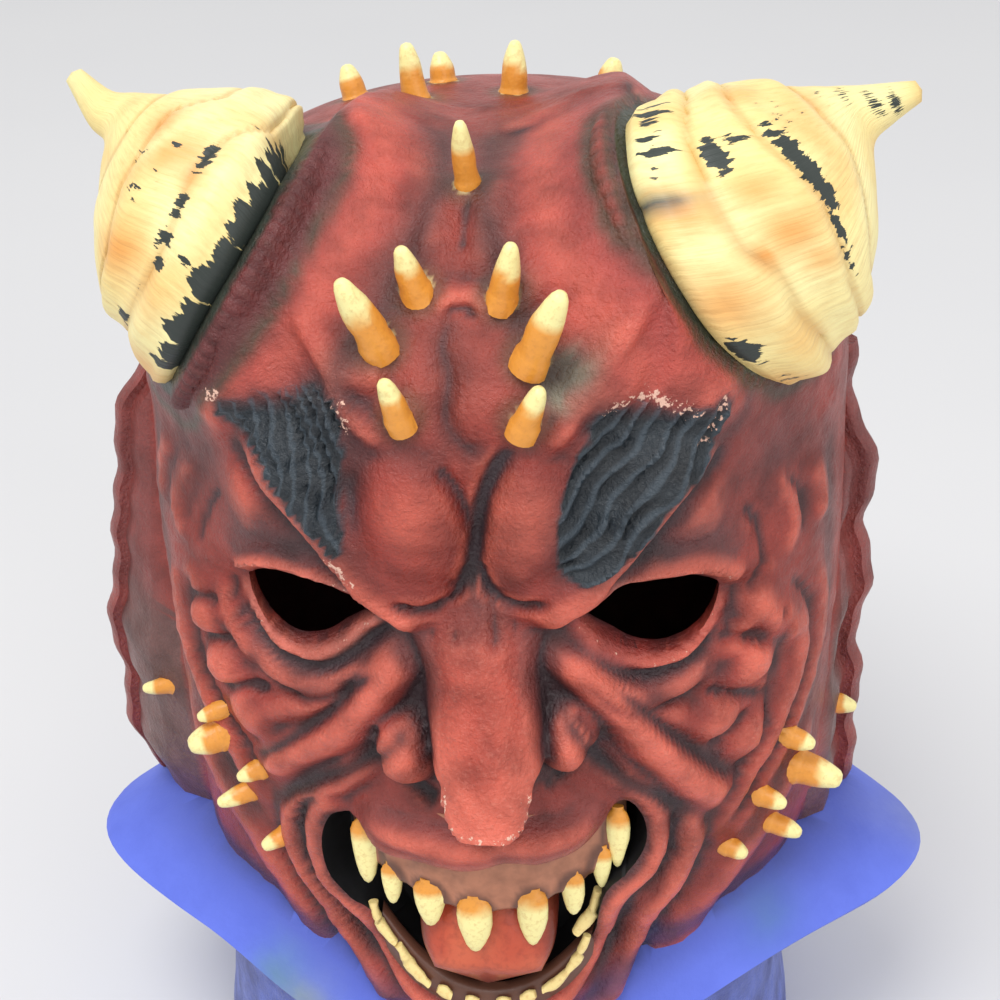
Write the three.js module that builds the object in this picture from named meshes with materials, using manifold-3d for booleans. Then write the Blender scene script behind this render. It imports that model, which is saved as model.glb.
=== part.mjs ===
// A devil mask that is pulled over the whole head: one skin of cast latex, hollow, open at the neck.
// Horns, spikes, teeth, ears and the blue collar are moulded in one with the face.
// Millimetres, +Z up, the face looks along -Y, and the mask stands on its neck rim at z = 0.

import * as THREE from 'three';
import { mergeVertices } from 'three/addons/utils/BufferGeometryUtils.js';
import Module from 'manifold-3d';

const wasm = await Module();
wasm.setup();

// Driving dimensions. "up" is a height above the line of the eyes, "side" is -1 or +1,
// and an angle is the turn away from straight ahead, in degrees.
const EYE_HEIGHT = 215;
const WALL = 3.2;
const HEM_WALL = 5;
const HEM_HEIGHT = 9;

// Head and neck: half width, depth of the face and depth of the back at each height
const HEAD_LEVELS = [
  { up: -215, half: 97, front: 84, back: 86 },
  { up: -185, half: 93, front: 79, back: 82 },
  { up: -155, half: 92, front: 76, back: 82 },
  { up: -125, half: 94, front: 75, back: 88 },
  { up: -95, half: 97, front: 79, back: 98 },
  { up: -60, half: 98, front: 84, back: 107 },
  { up: -20, half: 98, front: 87, back: 113 },
  { up: 25, half: 97, front: 88, back: 113 },
];

// The neck stands a little to the left of the head
const NECK_LEAN = -4;
const NECK_TOP = -90;
const NECK_BEND = 50;

const DOME_START = 25;
const DOME_RISE = 79;
const DOME_CENTRE = -5;
const DOME_BEND_FRONT = 2.5;
const DOME_BEND_BACK = 2.1;
const FRONT_SQUARENESS = 2.35;
const BACK_SQUARENESS = 2.1;

// Eyes: a round lower edge below up = 0 and a low peak above it
const EYE_INNER = 28;
const EYE_OUTER = 66;
const EYE_DROP = 11;
const EYE_TOP = 7;

// Nose: a long wedge with a squared tip
const NOSE_ROOT_UP = 4;
const NOSE_TIP_UP = -47;
const NOSE_ROOT_FORWARD = 94;
const NOSE_TIP_FORWARD = 115;
const NOSE_ROOT_HALF = 10.5;
const NOSE_TIP_HALF = 13.5;
const NOSE_LEAN = 3;

// Mouth: a pocket behind the lips, with a breathing hole in each corner
const MOUTH_HALF = 43;
const MOUTH_TOP_UP = -66;
const MOUTH_BOTTOM_UP = -120;
const MOUTH_BACK = 66;
const POCKET_WALL = 4;

// Horns: fat ribbed bulbs, hollow inside, with a thin solid tip. Each starts at a round lower edge with
// an axis of its own, over a seat of skin, and "foot" is how far a station still follows that axis.
const HORN_WALL = 4;
const HORN_AXIS = [0.84, 0.27, 0.47];
const HORN_FEET = {
  '-1': { x: 63, y: -36, up: 76.7, radius: 37.3, axis: [0.84, 0.03, 0.54] },
  1: { x: 59, y: -36, up: 81.2, radius: 38.3, axis: [0.82, -0.13, 0.55] },
};
const HORN_SEAT = [{ below: 13, wider: 3.5 }, { below: 2.5, wider: -1.5 }, { below: 0, wider: 0 }];
const HORN_STATIONS = [
  { x: 66, y: -34, up: 83, radius: 38.5, foot: 0.65 }, { x: 71, y: -31, up: 86, radius: 35, foot: 0.3 },
  { x: 76, y: -29, up: 88, radius: 33, foot: 0 }, { x: 81, y: -26, up: 91, radius: 28, foot: 0 },
  { x: 86, y: -22, up: 95, radius: 21.5, foot: 0 }, { x: 90, y: -18, up: 101, radius: 13, foot: 0 },
  { x: 93, y: -15, up: 105, radius: 7.5, foot: 0 }, { x: 99, y: -13, up: 107, radius: 5, foot: 0 },
];
const HORN_TIPS = { '-1': [106, -10, 115], 1: [108, -12, 110] };

// Collar: a lapel that leaves the jaw, slopes out and down, and has a corner at each side
const COLLAR_EDGE = 4.5;
const COLLAR_FLARE = 12;
const CORNER_FLARE = { '-1': 37, 1: 38 };
const CORNER_ANGLE = 83;
const CORNER_SPREAD = 17;

// Ears: long wavy flaps down to the collar, the right one larger. "reach" is how far the edge is from
// the middle of the head, and "front" is where the flap leaves the cheek.
const EAR_STATIONS = [
  { up: -122, reach: { '-1': 121, 1: 107 }, front: -34 },
  { up: -104, reach: { '-1': 125.5, 1: 109.5 }, front: -38 },
  { up: -84, reach: { '-1': 126, 1: 109 }, front: -40 },
  { up: -64, reach: { '-1': 125.5, 1: 107 }, front: -38 },
  { up: -46, reach: { '-1': 123.5, 1: 109 }, front: -32 },
  { up: -22, reach: { '-1': 117.5, 1: 106.5 }, front: -22 },
  { up: -4, reach: { '-1': 115.5, 1: 107.5 }, front: -15 },
  { up: 20, reach: { '-1': 108.5, 1: 101 }, front: -10 },
  { up: 40, reach: { '-1': 97, 1: 98 }, front: -8 },
];

const DEGREE = Math.PI / 180;

const clamp01 = (value) => Math.min(1, Math.max(0, value));
const mix = (a, b, t) => a + (b - a) * t;
const smooth = (t) => clamp01(t) ** 2 * (3 - 2 * clamp01(t));

// A swelling that runs out softly to nothing at d = 1
const swell = (d) => (d < 1 ? (1 - d * d) ** 2 : 0);

// A fuller roll of flesh with a steeper foot
const roll = (d) => (d < 1 ? (1 - d * d) ** 1.5 : 0);

// Distance from a point to a run of points
function distanceToRun(x, up, run) {
  let nearest = Infinity;
  for (let i = 0; i < run.length - 1; i++) {
    const [ax, aUp] = run[i];
    const [bx, bUp] = run[i + 1];
    const dx = bx - ax;
    const dUp = bUp - aUp;
    const t = clamp01(((x - ax) * dx + (up - aUp) * dUp) / (dx * dx + dUp * dUp));
    nearest = Math.min(nearest, Math.hypot(x - ax - dx * t, up - aUp - dUp * t));
  }
  return nearest;
}

// Solids

// Turns an indexed triangle geometry into a closed solid whose faces point out
function solidOf(geometry) {
  const merged = mergeVertices(geometry, 1e-4);
  const vertProperties = new Float32Array(merged.attributes.position.array);
  const triVerts = new Uint32Array(merged.index.array);
  return new wasm.Manifold(new wasm.Mesh({ numProp: 3, vertProperties, triVerts }));
}

function geometryOf(vertices, triangles) {
  const corner = (i) => new THREE.Vector3(...vertices[i]);
  let volume = 0;
  for (const [a, b, c] of triangles) {
    volume += corner(a).dot(corner(b).cross(corner(c)));
  }
  const outward = volume > 0 ? triangles : triangles.map(([a, b, c]) => [a, c, b]);
  const geometry = new THREE.BufferGeometry();
  geometry.setAttribute('position', new THREE.Float32BufferAttribute(vertices.flat(), 3));
  geometry.setIndex(outward.flat());
  return geometry;
}

function geometryFrom(solid) {
  const mesh = solid.getMesh();
  const geometry = new THREE.BufferGeometry();
  geometry.setAttribute('position', new THREE.Float32BufferAttribute(mesh.vertProperties, 3));
  geometry.setIndex(new THREE.Uint32BufferAttribute(mesh.triVerts, 1));
  geometry.computeVertexNormals();
  return geometry;
}

const average = (ring) => [0, 1, 2].map((k) => ring.reduce((sum, p) => sum + p[k], 0) / ring.length);

// A closed solid through rings of points, with an end point at each end.
// Where a true middle is given for each four-sided face, the face is split along the diagonal nearer to it.
function loft(rings, start = average(rings[0]), end = average(rings[rings.length - 1]), middle = null) {
  const count = rings[0].length;
  const vertices = rings.flat();
  const triangles = [];
  const far = (p, q, m) => Math.hypot(...[0, 1, 2].map((k) => (p[k] + q[k]) / 2 - m[k]));
  for (let i = 0; i < rings.length - 1; i++) {
    for (let j = 0; j < count; j++) {
      const a = i * count + j;
      const b = i * count + ((j + 1) % count);
      const c = b + count;
      const d = a + count;
      const m = middle && middle(i, j);
      if (m && far(vertices[b], vertices[d], m) < far(vertices[a], vertices[c], m)) {
        triangles.push([a, b, d], [b, c, d]);
      } else {
        triangles.push([a, b, c], [a, c, d]);
      }
    }
  }
  const first = vertices.push(start) - 1;
  const last = vertices.push(end) - 1;
  const top = (rings.length - 1) * count;
  for (let j = 0; j < count; j++) {
    const next = (j + 1) % count;
    triangles.push([first, next, j], [last, top + j, top + next]);
  }
  return solidOf(geometryOf(vertices, triangles));
}

// A closed band through sections that follow each other round a ring
function band(sections) {
  const count = sections[0].length;
  const triangles = [];
  for (let i = 0; i < sections.length; i++) {
    const here = i * count;
    const next = ((i + 1) % sections.length) * count;
    for (let j = 0; j < count; j++) {
      const k = (j + 1) % count;
      triangles.push([here + j, next + j, next + k], [here + j, next + k, here + k]);
    }
  }
  return solidOf(geometryOf(sections.flat(), triangles));
}

// An oval ring of points round an axis
function ringAround(centre, axis, wide, tall, count) {
  const along = new THREE.Vector3(...axis).normalize();
  const reference = Math.abs(along.z) > 0.9 ? new THREE.Vector3(0, 1, 0) : new THREE.Vector3(0, 0, 1);
  const across = new THREE.Vector3().crossVectors(reference, along).normalize();
  const above = new THREE.Vector3().crossVectors(along, across);
  return Array.from({ length: count }, (_, i) => {
    const turn = (2 * Math.PI * i) / count;
    return new THREE.Vector3(...centre)
      .addScaledVector(across, wide * Math.cos(turn))
      .addScaledVector(above, tall * Math.sin(turn))
      .toArray();
  });
}

// Head

// Half width, front and back of the plain head at one height, and where its middle lies
function headSection(up) {
  const level = Math.min(up, DOME_START);
  const last = HEAD_LEVELS.length - 1;
  let i = 0;
  while (i < last - 1 && HEAD_LEVELS[i + 1].up < level) {
    i += 1;
  }
  const t = clamp01((level - HEAD_LEVELS[i].up) / (HEAD_LEVELS[i + 1].up - HEAD_LEVELS[i].up));
  const value = (name) => {
    const at = (k) => HEAD_LEVELS[Math.min(last, Math.max(0, k))][name];
    const slope = (at(i + 1) - at(i - 1)) / 2;
    const nextSlope = (at(i + 2) - at(i)) / 2;
    const step = at(i + 1) - at(i);
    const bend = 3 * step - 2 * slope - nextSlope;
    return at(i) + t * slope + t * t * bend + t ** 3 * (slope + nextSlope - 2 * step);
  };
  const rise = clamp01((up - DOME_START) / DOME_RISE);
  const shrinkFront = (1 - rise ** DOME_BEND_FRONT) ** (1 / DOME_BEND_FRONT);
  const shrinkBack = (1 - rise ** DOME_BEND_BACK) ** (1 / DOME_BEND_BACK);
  return {
    half: value('half') * shrinkFront,
    front: (value('front') + DOME_CENTRE * rise) * shrinkFront,
    back: (value('back') - DOME_CENTRE * rise) * shrinkBack,
    middle: DOME_CENTRE * rise,
  };
}

// A point of the plain head, drawn in by a wall
function plainHead(turn, up, inset = 0) {
  const section = headSection(up);
  const ahead = Math.cos(turn) > 0;
  const power = ahead ? FRONT_SQUARENESS : BACK_SQUARENESS;
  const half = Math.max(section.half - inset, 0.5);
  const depth = Math.max((ahead ? section.front : section.back) - inset, 0.5);
  const across = (Math.abs(Math.sin(turn)) / half) ** power;
  const along = (Math.abs(Math.cos(turn)) / depth) ** power;
  const radius = (across + along) ** (-1 / power);
  const lean = NECK_LEAN * smooth((NECK_TOP - up) / NECK_BEND);
  return [lean + radius * Math.sin(turn), section.middle - radius * Math.cos(turn), up];
}

// The broad forms, which the hollow inside follows too: forehead, eye sockets, temples, muzzle and chin
function broadRelief(x, up) {
  const width = Math.abs(x);
  const forehead = 5 * swell(Math.hypot(x / 70, (up - 62) / 42));
  const socket = 9 * swell(Math.hypot((width - 46) / 31, (up + 2) / 19));
  const temple = 5 * swell(Math.hypot((width - 78) / 24, (up - 28) / 30));
  const muzzle = 17 * swell(Math.hypot(x / 62, (up + 88) / 46));
  const chin = 17 * swell(Math.hypot(x / 44, (up + 136) / 34));
  return forehead - socket - temple + muzzle + chin;
}

// The folds of the right and left cheek differ a little; each is a run of points with a half width and a height
const FOLDS = [
  { side: 1, run: [[25, 16], [32, 32], [42, 46], [60, 56]], half: 16, height: 11 },
  { side: -1, run: [[28, 16], [33, 34], [41, 47], [60, 54]], half: 16, height: 11 },
  { side: 1, run: [[31, 11], [47, 15], [68, 10]], half: 8, height: 5 },
  { side: -1, run: [[28, 9], [42, 14], [62, 12]], half: 8, height: 5 },
  { side: 1, run: [[23, -10], [41, -21], [58, -19], [68, -5]], half: 9, height: 4 },
  { side: -1, run: [[20, -6], [35, -17], [51, -18], [64, -8]], half: 9, height: 4 },
  { side: 1, run: [[25, -8], [39, -30], [53, -49], [66, -64]], half: 11, height: 9 },
  { side: -1, run: [[17, -8], [32, -27], [47, -42], [60, -57]], half: 11, height: 9 },
  { side: 1, run: [[28, -38], [44, -56], [56, -72], [50, -92], [42, -116], [30, -142]], half: 10, height: 9 },
  { side: -1, run: [[24, -40], [39, -55], [52, -69], [53, -86], [47, -108], [34, -135]], half: 10, height: 9 },
  { side: 1, run: [[98, -38], [94, -72], [77, -92], [58, -120], [42, -148]], half: 13, height: 5 },
  { side: -1, run: [[98, -38], [91, -74], [71, -92], [56, -127], [42, -152]], half: 13, height: 5 },
  { side: 1, run: [[29, 100], [37, 86], [50, 70], [69, 54], [92, 44]], half: 14, height: 7 },
  { side: -1, run: [[38, 100], [45, 88], [57, 70], [80, 48], [94, 40]], half: 14, height: 7 },
];

// Rounded lumps: the two bulges over the nose and three knuckles down each cheek
const LUMPS = [
  { x: -14, up: 30, half: 19, tall: 27, height: 9 },
  { x: 17, up: 29, half: 18, tall: 25, height: 9 },
  { x: 77, up: -11, half: 12, tall: 10, height: 6 }, { x: 74, up: -27, half: 12, tall: 10, height: 7 },
  { x: 64, up: -42, half: 14, tall: 11, height: 7 }, { x: -77, up: -13, half: 12, tall: 10, height: 6 },
  { x: -73, up: -27, half: 12, tall: 10, height: 7 }, { x: -62, up: -39, half: 14, tall: 11, height: 7 },
];

function foldRelief(x, up) {
  let out = 0;
  for (const { side, run, half, height } of FOLDS) {
    out = Math.max(out, height * roll(distanceToRun(x * side, up, run) / half));
  }
  for (const lump of LUMPS) {
    out = Math.max(out, lump.height * roll(Math.hypot((x - lump.x) / lump.half, (up - lump.up) / lump.tall)));
  }
  return out;
}

function headPoint(turn, up, inset, withFolds) {
  const [x, y] = plainHead(turn, up, inset);
  const ahead = smooth((Math.cos(turn) + 0.1) / 0.45);
  const push = (broadRelief(x, up) + (withFolds ? foldRelief(x, up) : 0)) * ahead;
  const steep = clamp01(Math.hypot(x, y) / 75);
  return [x + Math.sin(turn) * push * steep, y - Math.cos(turn) * push * steep, up + push * (1 - steep)];
}

// Turns round the head, closer together in front
function headTurns(count, crowding) {
  return Array.from({ length: count }, (_, i) => {
    const turn = (2 * Math.PI * i) / count;
    return turn - crowding * Math.sin(turn);
  });
}

// Heights from the hem to the crown, closer together on the face
function headHeights(neck, face, dome) {
  const stretch = (from, to, steps) => Array.from({ length: steps }, (_, i) => mix(from, to, i / steps));
  const domeHeight = (i) => DOME_START + DOME_RISE * Math.sin((Math.PI / 2) * (i / dome)) ** 0.9;
  return [
    ...stretch(-EYE_HEIGHT, -135, neck),
    ...stretch(-135, DOME_START, face),
    ...Array.from({ length: dome }, (_, i) => domeHeight(i)),
  ];
}

function headSkin() {
  const turns = headTurns(50, 0.57);
  const heights = headHeights(3, 24, 10);
  const rings = heights.map((up) => turns.map((turn) => headPoint(turn, up, 0, true)));
  const middle = (i, j) => {
    const nextTurn = j + 1 < turns.length ? turns[j + 1] : 2 * Math.PI;
    return headPoint((turns[j] + nextTurn) / 2, (heights[i] + heights[i + 1]) / 2, 0, true);
  };
  return loft(rings, [0, 0, -EYE_HEIGHT], [0, DOME_CENTRE, DOME_START + DOME_RISE], middle);
}

function headHollow() {
  const turns = headTurns(24, 0.25);
  const heights = headHeights(3, 7, 5).slice(1);
  const lower = 1 - WALL / DOME_RISE;
  const ringAt = (up, wall) => turns.map((turn) => {
    const [x, y, z] = headPoint(turn, up, wall, false);
    return [x, y, z > DOME_START ? DOME_START + (z - DOME_START) * lower : z];
  });
  const belowHem = ringAt(-EYE_HEIGHT, HEM_WALL).map(([x, y, up]) => [x, y, up - 5]);
  const rings = [
    belowHem,
    ringAt(-EYE_HEIGHT + HEM_HEIGHT, HEM_WALL),
    ringAt(-EYE_HEIGHT + HEM_HEIGHT + 3, WALL),
    ...heights.map((up) => ringAt(up, WALL)),
  ];
  return loft(rings, [0, 0, -EYE_HEIGHT - 5], [0, DOME_CENTRE, DOME_START + DOME_RISE - WALL]);
}

// Eye holes
function eyeHole(side) {
  const centre = (EYE_INNER + EYE_OUTER) / 2;
  const half = (EYE_OUTER - EYE_INNER) / 2;
  const outline = [];
  for (let i = 0; i <= 9; i++) {
    const turn = (Math.PI * i) / 9;
    outline.push([centre - half * Math.cos(turn), -EYE_DROP * Math.sin(turn) ** 0.8]);
  }
  outline.push([centre, EYE_TOP]);
  const ring = (y) => outline.map(([x, up]) => [side * x, y, up]);
  return loft([ring(-130), ring(-40)]);
}

// Nose
function noseRing(t) {
  const up = mix(NOSE_ROOT_UP, NOSE_TIP_UP, t);
  const front = mix(NOSE_ROOT_FORWARD, NOSE_TIP_FORWARD, t);
  const half = mix(NOSE_ROOT_HALF, NOSE_TIP_HALF, t);
  const foot = half + mix(4, 9, t);
  const profile = [[foot, 70], [foot, 84], [half, front - 3], [half - 3, front]];
  const right = profile.map(([x, y]) => [NOSE_LEAN * t + x, -y, up]);
  const left = profile.map(([x, y]) => [NOSE_LEAN * t - x, -y, up]);
  return [...left, ...right.reverse()];
}

function nose() {
  const rings = [0, 0.2, 0.4, 0.6, 0.8, 1].map(noseRing);
  const tipRing = (scale, lift, back) => noseRing(1).map(([x, y, up]) => [
    NOSE_LEAN + (x - NOSE_LEAN) * scale, Math.max(y, -NOSE_TIP_FORWARD + back), up - lift]);
  rings.push(tipRing(0.92, 4, 2), tipRing(0.7, 9, 17));
  return loft(rings);
}

// Wings of the nostrils: short fat ovals beside the tip
function nostrilWing(side) {
  const rings = [0.25, 0.45, 0.65, 0.85].map((t) => {
    const centre = [NOSE_LEAN + side * mix(10, 26, t), mix(-104, -82, t), mix(-44, -47, t)];
    const radius = 9.5 * Math.sin(Math.PI * t * 0.95);
    return ringAround(centre, [side * 0.6, 0.8, 0], radius, radius, 8);
  });
  return loft(rings);
}

// Mouth
function mouthOutline(grow) {
  const middle = (MOUTH_TOP_UP + MOUTH_BOTTOM_UP) / 2;
  const half = (MOUTH_TOP_UP - MOUTH_BOTTOM_UP) / 2;
  const count = 18;
  return Array.from({ length: count }, (_, i) => {
    const turn = (2 * Math.PI * i) / count;
    const sine = Math.sin(turn);
    const cosine = Math.cos(turn);
    const narrowing = sine < 0 ? mix(1, 0.5, -sine) : 1;
    const x = (MOUTH_HALF + grow) * narrowing * Math.sign(cosine) * Math.abs(cosine) ** 0.7;
    return [x, middle + (half + grow) * Math.sign(sine) * Math.abs(sine) ** 0.7];
  });
}

function mouthPocket(grow) {
  const outline = mouthOutline(grow);
  const ring = (y, scale) => outline.map(([x, up]) => [x * scale, y, up]);
  return loft([ring(-135, 1), ring(-MOUTH_BACK - 10, 1), ring(-MOUTH_BACK + grow, 0.88)]);
}

function breathingHole(side) {
  return loft([-100, -50].map((y) => ringAround([side * 36, y, -76], [0, 1, 0], 5, 9, 8)));
}

// Depth of the rows of teeth, and height of the lower gum, at a distance from the middle
const archY = (x) => -94 + 17 * (x / 40) ** 2;
const lowerGumTop = (x) => mix(-118, -100, (x / 27) ** 2);

// The upper gum: a band that follows the arch just behind the lip
function upperGum() {
  const sections = [];
  for (let i = 0; i <= 10; i++) {
    const x = mix(-32, 36, i / 10);
    const y = archY(x);
    const bottom = mix(-84, -77, (x / 36) ** 2);
    sections.push([[x, y, -60], [x, y, bottom + 3], [x, y + 3, bottom], [x, y + 10, bottom + 2], [x, y + 10, -60]]);
  }
  return loft(sections);
}

// A short tapered point that leaves its foot along a direction, as a spike or a tooth does
function point(foot, direction, length, radius, sides = 5) {
  const along = new THREE.Vector3(...direction).normalize();
  const at = (distance) => new THREE.Vector3(...foot).addScaledVector(along, distance).toArray();
  const ring = (distance, scale) => ringAround(at(distance), direction, radius * scale, radius * scale, sides);
  return loft([ring(-4, 1), ring(length * 0.8, 0.55)], at(-4), at(length));
}

const UPPER_TEETH = [
  { x: -29, length: 15, radius: 3.6 }, { x: -22.5, length: 8, radius: 2.7 },
  { x: -13, length: 9, radius: 3.4 }, { x: -2.5, length: 11, radius: 3.9 },
  { x: 11.5, length: 11, radius: 3.8 }, { x: 21, length: 9, radius: 3.2 },
  { x: 28, length: 8, radius: 2.7 }, { x: 33, length: 15, radius: 3.4 },
];
const LOWER_TEETH_X = [-27, -20, -12, -4, 4, 12, 19, 25];

function teeth() {
  const upper = UPPER_TEETH.map(({ x, length, radius }) => {
    const foot = [x, archY(x) + 1, mix(-80, -68, (x / 34) ** 2)];
    return point(foot, [0, -0.12, -1], length, radius);
  });
  const lower = LOWER_TEETH_X.map((x) => {
    const foot = [x, archY(x) + 2, lowerGumTop(x) - 2];
    return point(foot, [0, -0.1, 1], 10, 3.5);
  });
  return [...upper, ...lower];
}

function lowerGum() {
  const sections = [];
  for (let i = 0; i <= 6; i++) {
    const x = mix(-27, 27, i / 6);
    const y = archY(x) + 1;
    const top = lowerGumTop(x);
    sections.push([[x, y, top - 14], [x, y, top - 1], [x, y + 3, top], [x, y + 7, top - 1], [x, y + 7, top - 14]]);
  }
  return loft(sections);
}

// The tongue leaves the back of the pocket and lies forward over the lower teeth
function tongue() {
  const stations = [[-60, -84, 17, 7], [-74, -89, 18, 8], [-86, -97, 17, 8], [-94, -105, 14, 6], [-98, -110, 8, 4]];
  return loft(stations.map(([y, up, wide, thick]) => ringAround([2, y, up], [0, -0.85, -0.5], wide, thick, 10)));
}

// Horns
function horn(side, inset) {
  const start = HORN_FEET[side];
  const seat = HORN_SEAT.map(({ below, wider }) => {
    const [x, y, up] = ['x', 'y', 'up'].map((name, k) => start[name] - start.axis[k] * below);
    return { x, y, up, radius: start.radius + wider, foot: 1 };
  });
  const stations = [...seat, ...HORN_STATIONS].filter(({ radius }) => radius > inset * 4);
  const count = inset > 0 ? 10 : 16;
  const rings = stations.map(({ x, y, up, radius, foot }) => {
    const [out, back, above] = HORN_AXIS.map((value, k) => mix(value, start.axis[k], foot));
    return ringAround([side * x, y, up], [side * out, back, above], radius - inset, radius - inset, count);
  });
  if (inset > 0) {
    return loft(rings);
  }
  const [x, y, up] = HORN_TIPS[side];
  return loft(rings, average(rings[0]), [side * x, y, up]);
}

// Ears: long wavy flaps that stand off the sides of the head, and grow out of the cheek lower down
function ear(side) {
  const first = EAR_STATIONS[0].up;
  const last = EAR_STATIONS[EAR_STATIONS.length - 1].up;
  return loft(EAR_STATIONS.map(({ up, reach, front }) => {
    const edge = reach[side];
    const y = mix(3, -7, (up - first) / (last - first));
    const profile = [
      [84, front + 2], [mix(88, edge, 0.5), front * 0.55 - 2], [edge - 2, -4], [edge, 1],
      [edge - 4, 6], [86, 17], [78, 2],
    ];
    return profile.map(([x, dy]) => [side * x, y + dy, up]);
  }));
}

// Collar
function collarSection(turn) {
  const away = Math.abs(Math.atan2(Math.sin(turn), Math.cos(turn))) / DEGREE;
  const corner = Math.exp(-(((away - CORNER_ANGLE) / CORNER_SPREAD) ** 2));
  const front = smooth((58 - away) / 58);
  const rootUp = -116 - 34 * front + 8 * smooth((away - 80) / 70);
  const flare = mix(COLLAR_FLARE, CORNER_FLARE[Math.sin(turn) < 0 ? -1 : 1], corner);
  const edgeUp = rootUp - mix(19, 13, corner);
  const spread = (up) => Math.hypot(...plainHead(turn, up).slice(0, 2));
  const at = (radius, up) => [Math.sin(turn) * radius, -Math.cos(turn) * radius, up];
  const reach = spread(rootUp) + flare;
  return [
    at(spread(rootUp) - 2, rootUp + 3), at(reach, edgeUp), at(reach - 1.5, edgeUp - COLLAR_EDGE),
    at(spread(edgeUp - 12) - 2, edgeUp - 12),
  ];
}

function collar() {
  return band(headTurns(34, 0.1).map(collarSection));
}

// Spikes of the forehead and crown: compass angle and height of the foot, length, radius, lift and sideways lean
const BROW_SPIKES = [
  { angle: -9.4, up: 60, length: 12, radius: 3.2, lift: 74, lean: -12 },
  { angle: 9.2, up: 58, length: 12, radius: 3.2, lift: 76, lean: 21 },
  { angle: -14.3, up: 74.5, length: 20, radius: 4.2, lift: 72, lean: -20 },
  { angle: 11.5, up: 72, length: 20, radius: 4.2, lift: 76, lean: 23 },
  { angle: -9.3, up: 84, length: 12, radius: 3.5, lift: 75, lean: -12 },
  { angle: 7.2, up: 82.5, length: 14.5, radius: 3.5, lift: 78, lean: 10 },
  { angle: -1.7, up: 98.5, length: 17, radius: 3, lift: 76, lean: -2 },
];
const CROWN_SPIKES = [
  { x: -20, y: 6, length: 14.5 }, { x: 6, y: 12, length: 13.5 },
  { x: -39, y: 22, length: 9 }, { x: -15, y: 28, length: 8 }, { x: 31, y: 26, length: 8 },
];

// Spikes along the jaw, which lean outward. "out" carries the first on each side to the ear's surface.
const JAW_SPIKES = [
  { angle: -75.8, up: -68, length: 9, radius: 2.8, out: 6 },
  { angle: -51, up: -50, length: 5, radius: 2.5, out: 0 },
  { angle: -50.6, up: -58.5, length: 9, radius: 4.6, out: 0 },
  { angle: -43.8, up: -64.5, length: 6.5, radius: 2.8, out: 0 },
  { angle: -47.6, up: -77, length: 10, radius: 3, out: 0 },
  { angle: -40.2, up: -87, length: 7, radius: 2.8, out: 0 },
  { angle: 79.7, up: -77, length: 7.5, radius: 3.2, out: 2 },
  { angle: 56.7, up: -60, length: 6.5, radius: 3, out: 0 },
  { angle: 59, up: -73.5, length: 12.5, radius: 5, out: 0 },
  { angle: 50.6, up: -75, length: 7, radius: 3, out: 0 },
  { angle: 53.8, up: -88, length: 9, radius: 3.2, out: 0 },
  { angle: 46, up: -91.5, length: 5.5, radius: 2.8, out: 0 },
];

function spikes() {
  const made = BROW_SPIKES.map(({ angle, up, length, radius, lift, lean }) => {
    const foot = headPoint(angle * DEGREE, up, 0, true);
    const flat = Math.cos(lift * DEGREE);
    const direction = [Math.sin(lean * DEGREE), -flat, Math.sin(lift * DEGREE)];
    return point(foot, direction, length, radius);
  });
  for (const { x, y, length } of CROWN_SPIKES) {
    const turn = Math.atan2(x, -(y - DOME_CENTRE));
    let up = DOME_START + DOME_RISE - 1;
    while (Math.hypot(...plainHead(turn, up).slice(0, 2)) < Math.hypot(x, y)) {
      up -= 0.5;
    }
    made.push(point([x, y, up], [x / 140, y / 140, 1], length, 3.6));
  }
  for (const { angle, up, length, radius, out } of JAW_SPIKES) {
    const turn = angle * DEGREE;
    const [x, y] = headPoint(turn, up, 0, true);
    const foot = [x + Math.sin(turn) * out, y - Math.cos(turn) * out, up];
    made.push(point(foot, [Math.sin(turn), -Math.cos(turn) * 0.6, -0.1], length, radius));
  }
  return made;
}

// The mask, joined into one casting
function mask() {
  const outside = [headSkin(), nose(), collar(), ...spikes()];
  const hollows = [headHollow()];
  const holes = [mouthPocket(0)];
  for (const side of [-1, 1]) {
    outside.push(nostrilWing(side), horn(side, 0), ear(side));
    hollows.push(horn(side, HORN_WALL));
    holes.push(eyeHole(side), breathingHole(side));
  }
  const join = (solids) => solids.reduce((whole, solid) => whole.add(solid));
  const hollow = join(hollows).subtract(mouthPocket(POCKET_WALL));
  const shell = join(outside).subtract(hollow).subtract(join(holes));
  return join([shell, upperGum(), lowerGum(), tongue(), ...teeth()]);
}

const paintedLatex = new THREE.MeshStandardMaterial({ color: 0xa8443c, roughness: 0.6, metalness: 0 });
const casting = geometryFrom(mask());
casting.computeBoundingBox();
const middle = casting.boundingBox.getCenter(new THREE.Vector3());
casting.translate(-middle.x, -middle.y, EYE_HEIGHT);

const latexMask = new THREE.Mesh(casting, paintedLatex);
latexMask.name = 'latex_mask';

const group = new THREE.Group();
group.add(latexMask);

export default group;
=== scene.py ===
# A devil mask of cast and painted latex that is pulled over the whole head. It stands on its neck rim.
# Shapes are worked out in millimetres: x to the mask's own left, "up" above the line of the eyes and
# "turn" round the head from straight ahead. They are then moved into the CAD frame, in metres. Left and
# right in the names below are as seen from in front, so left is where x is negative.

import math

import bpy
import numpy as np
from mathutils import Matrix, Vector, kdtree


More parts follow.
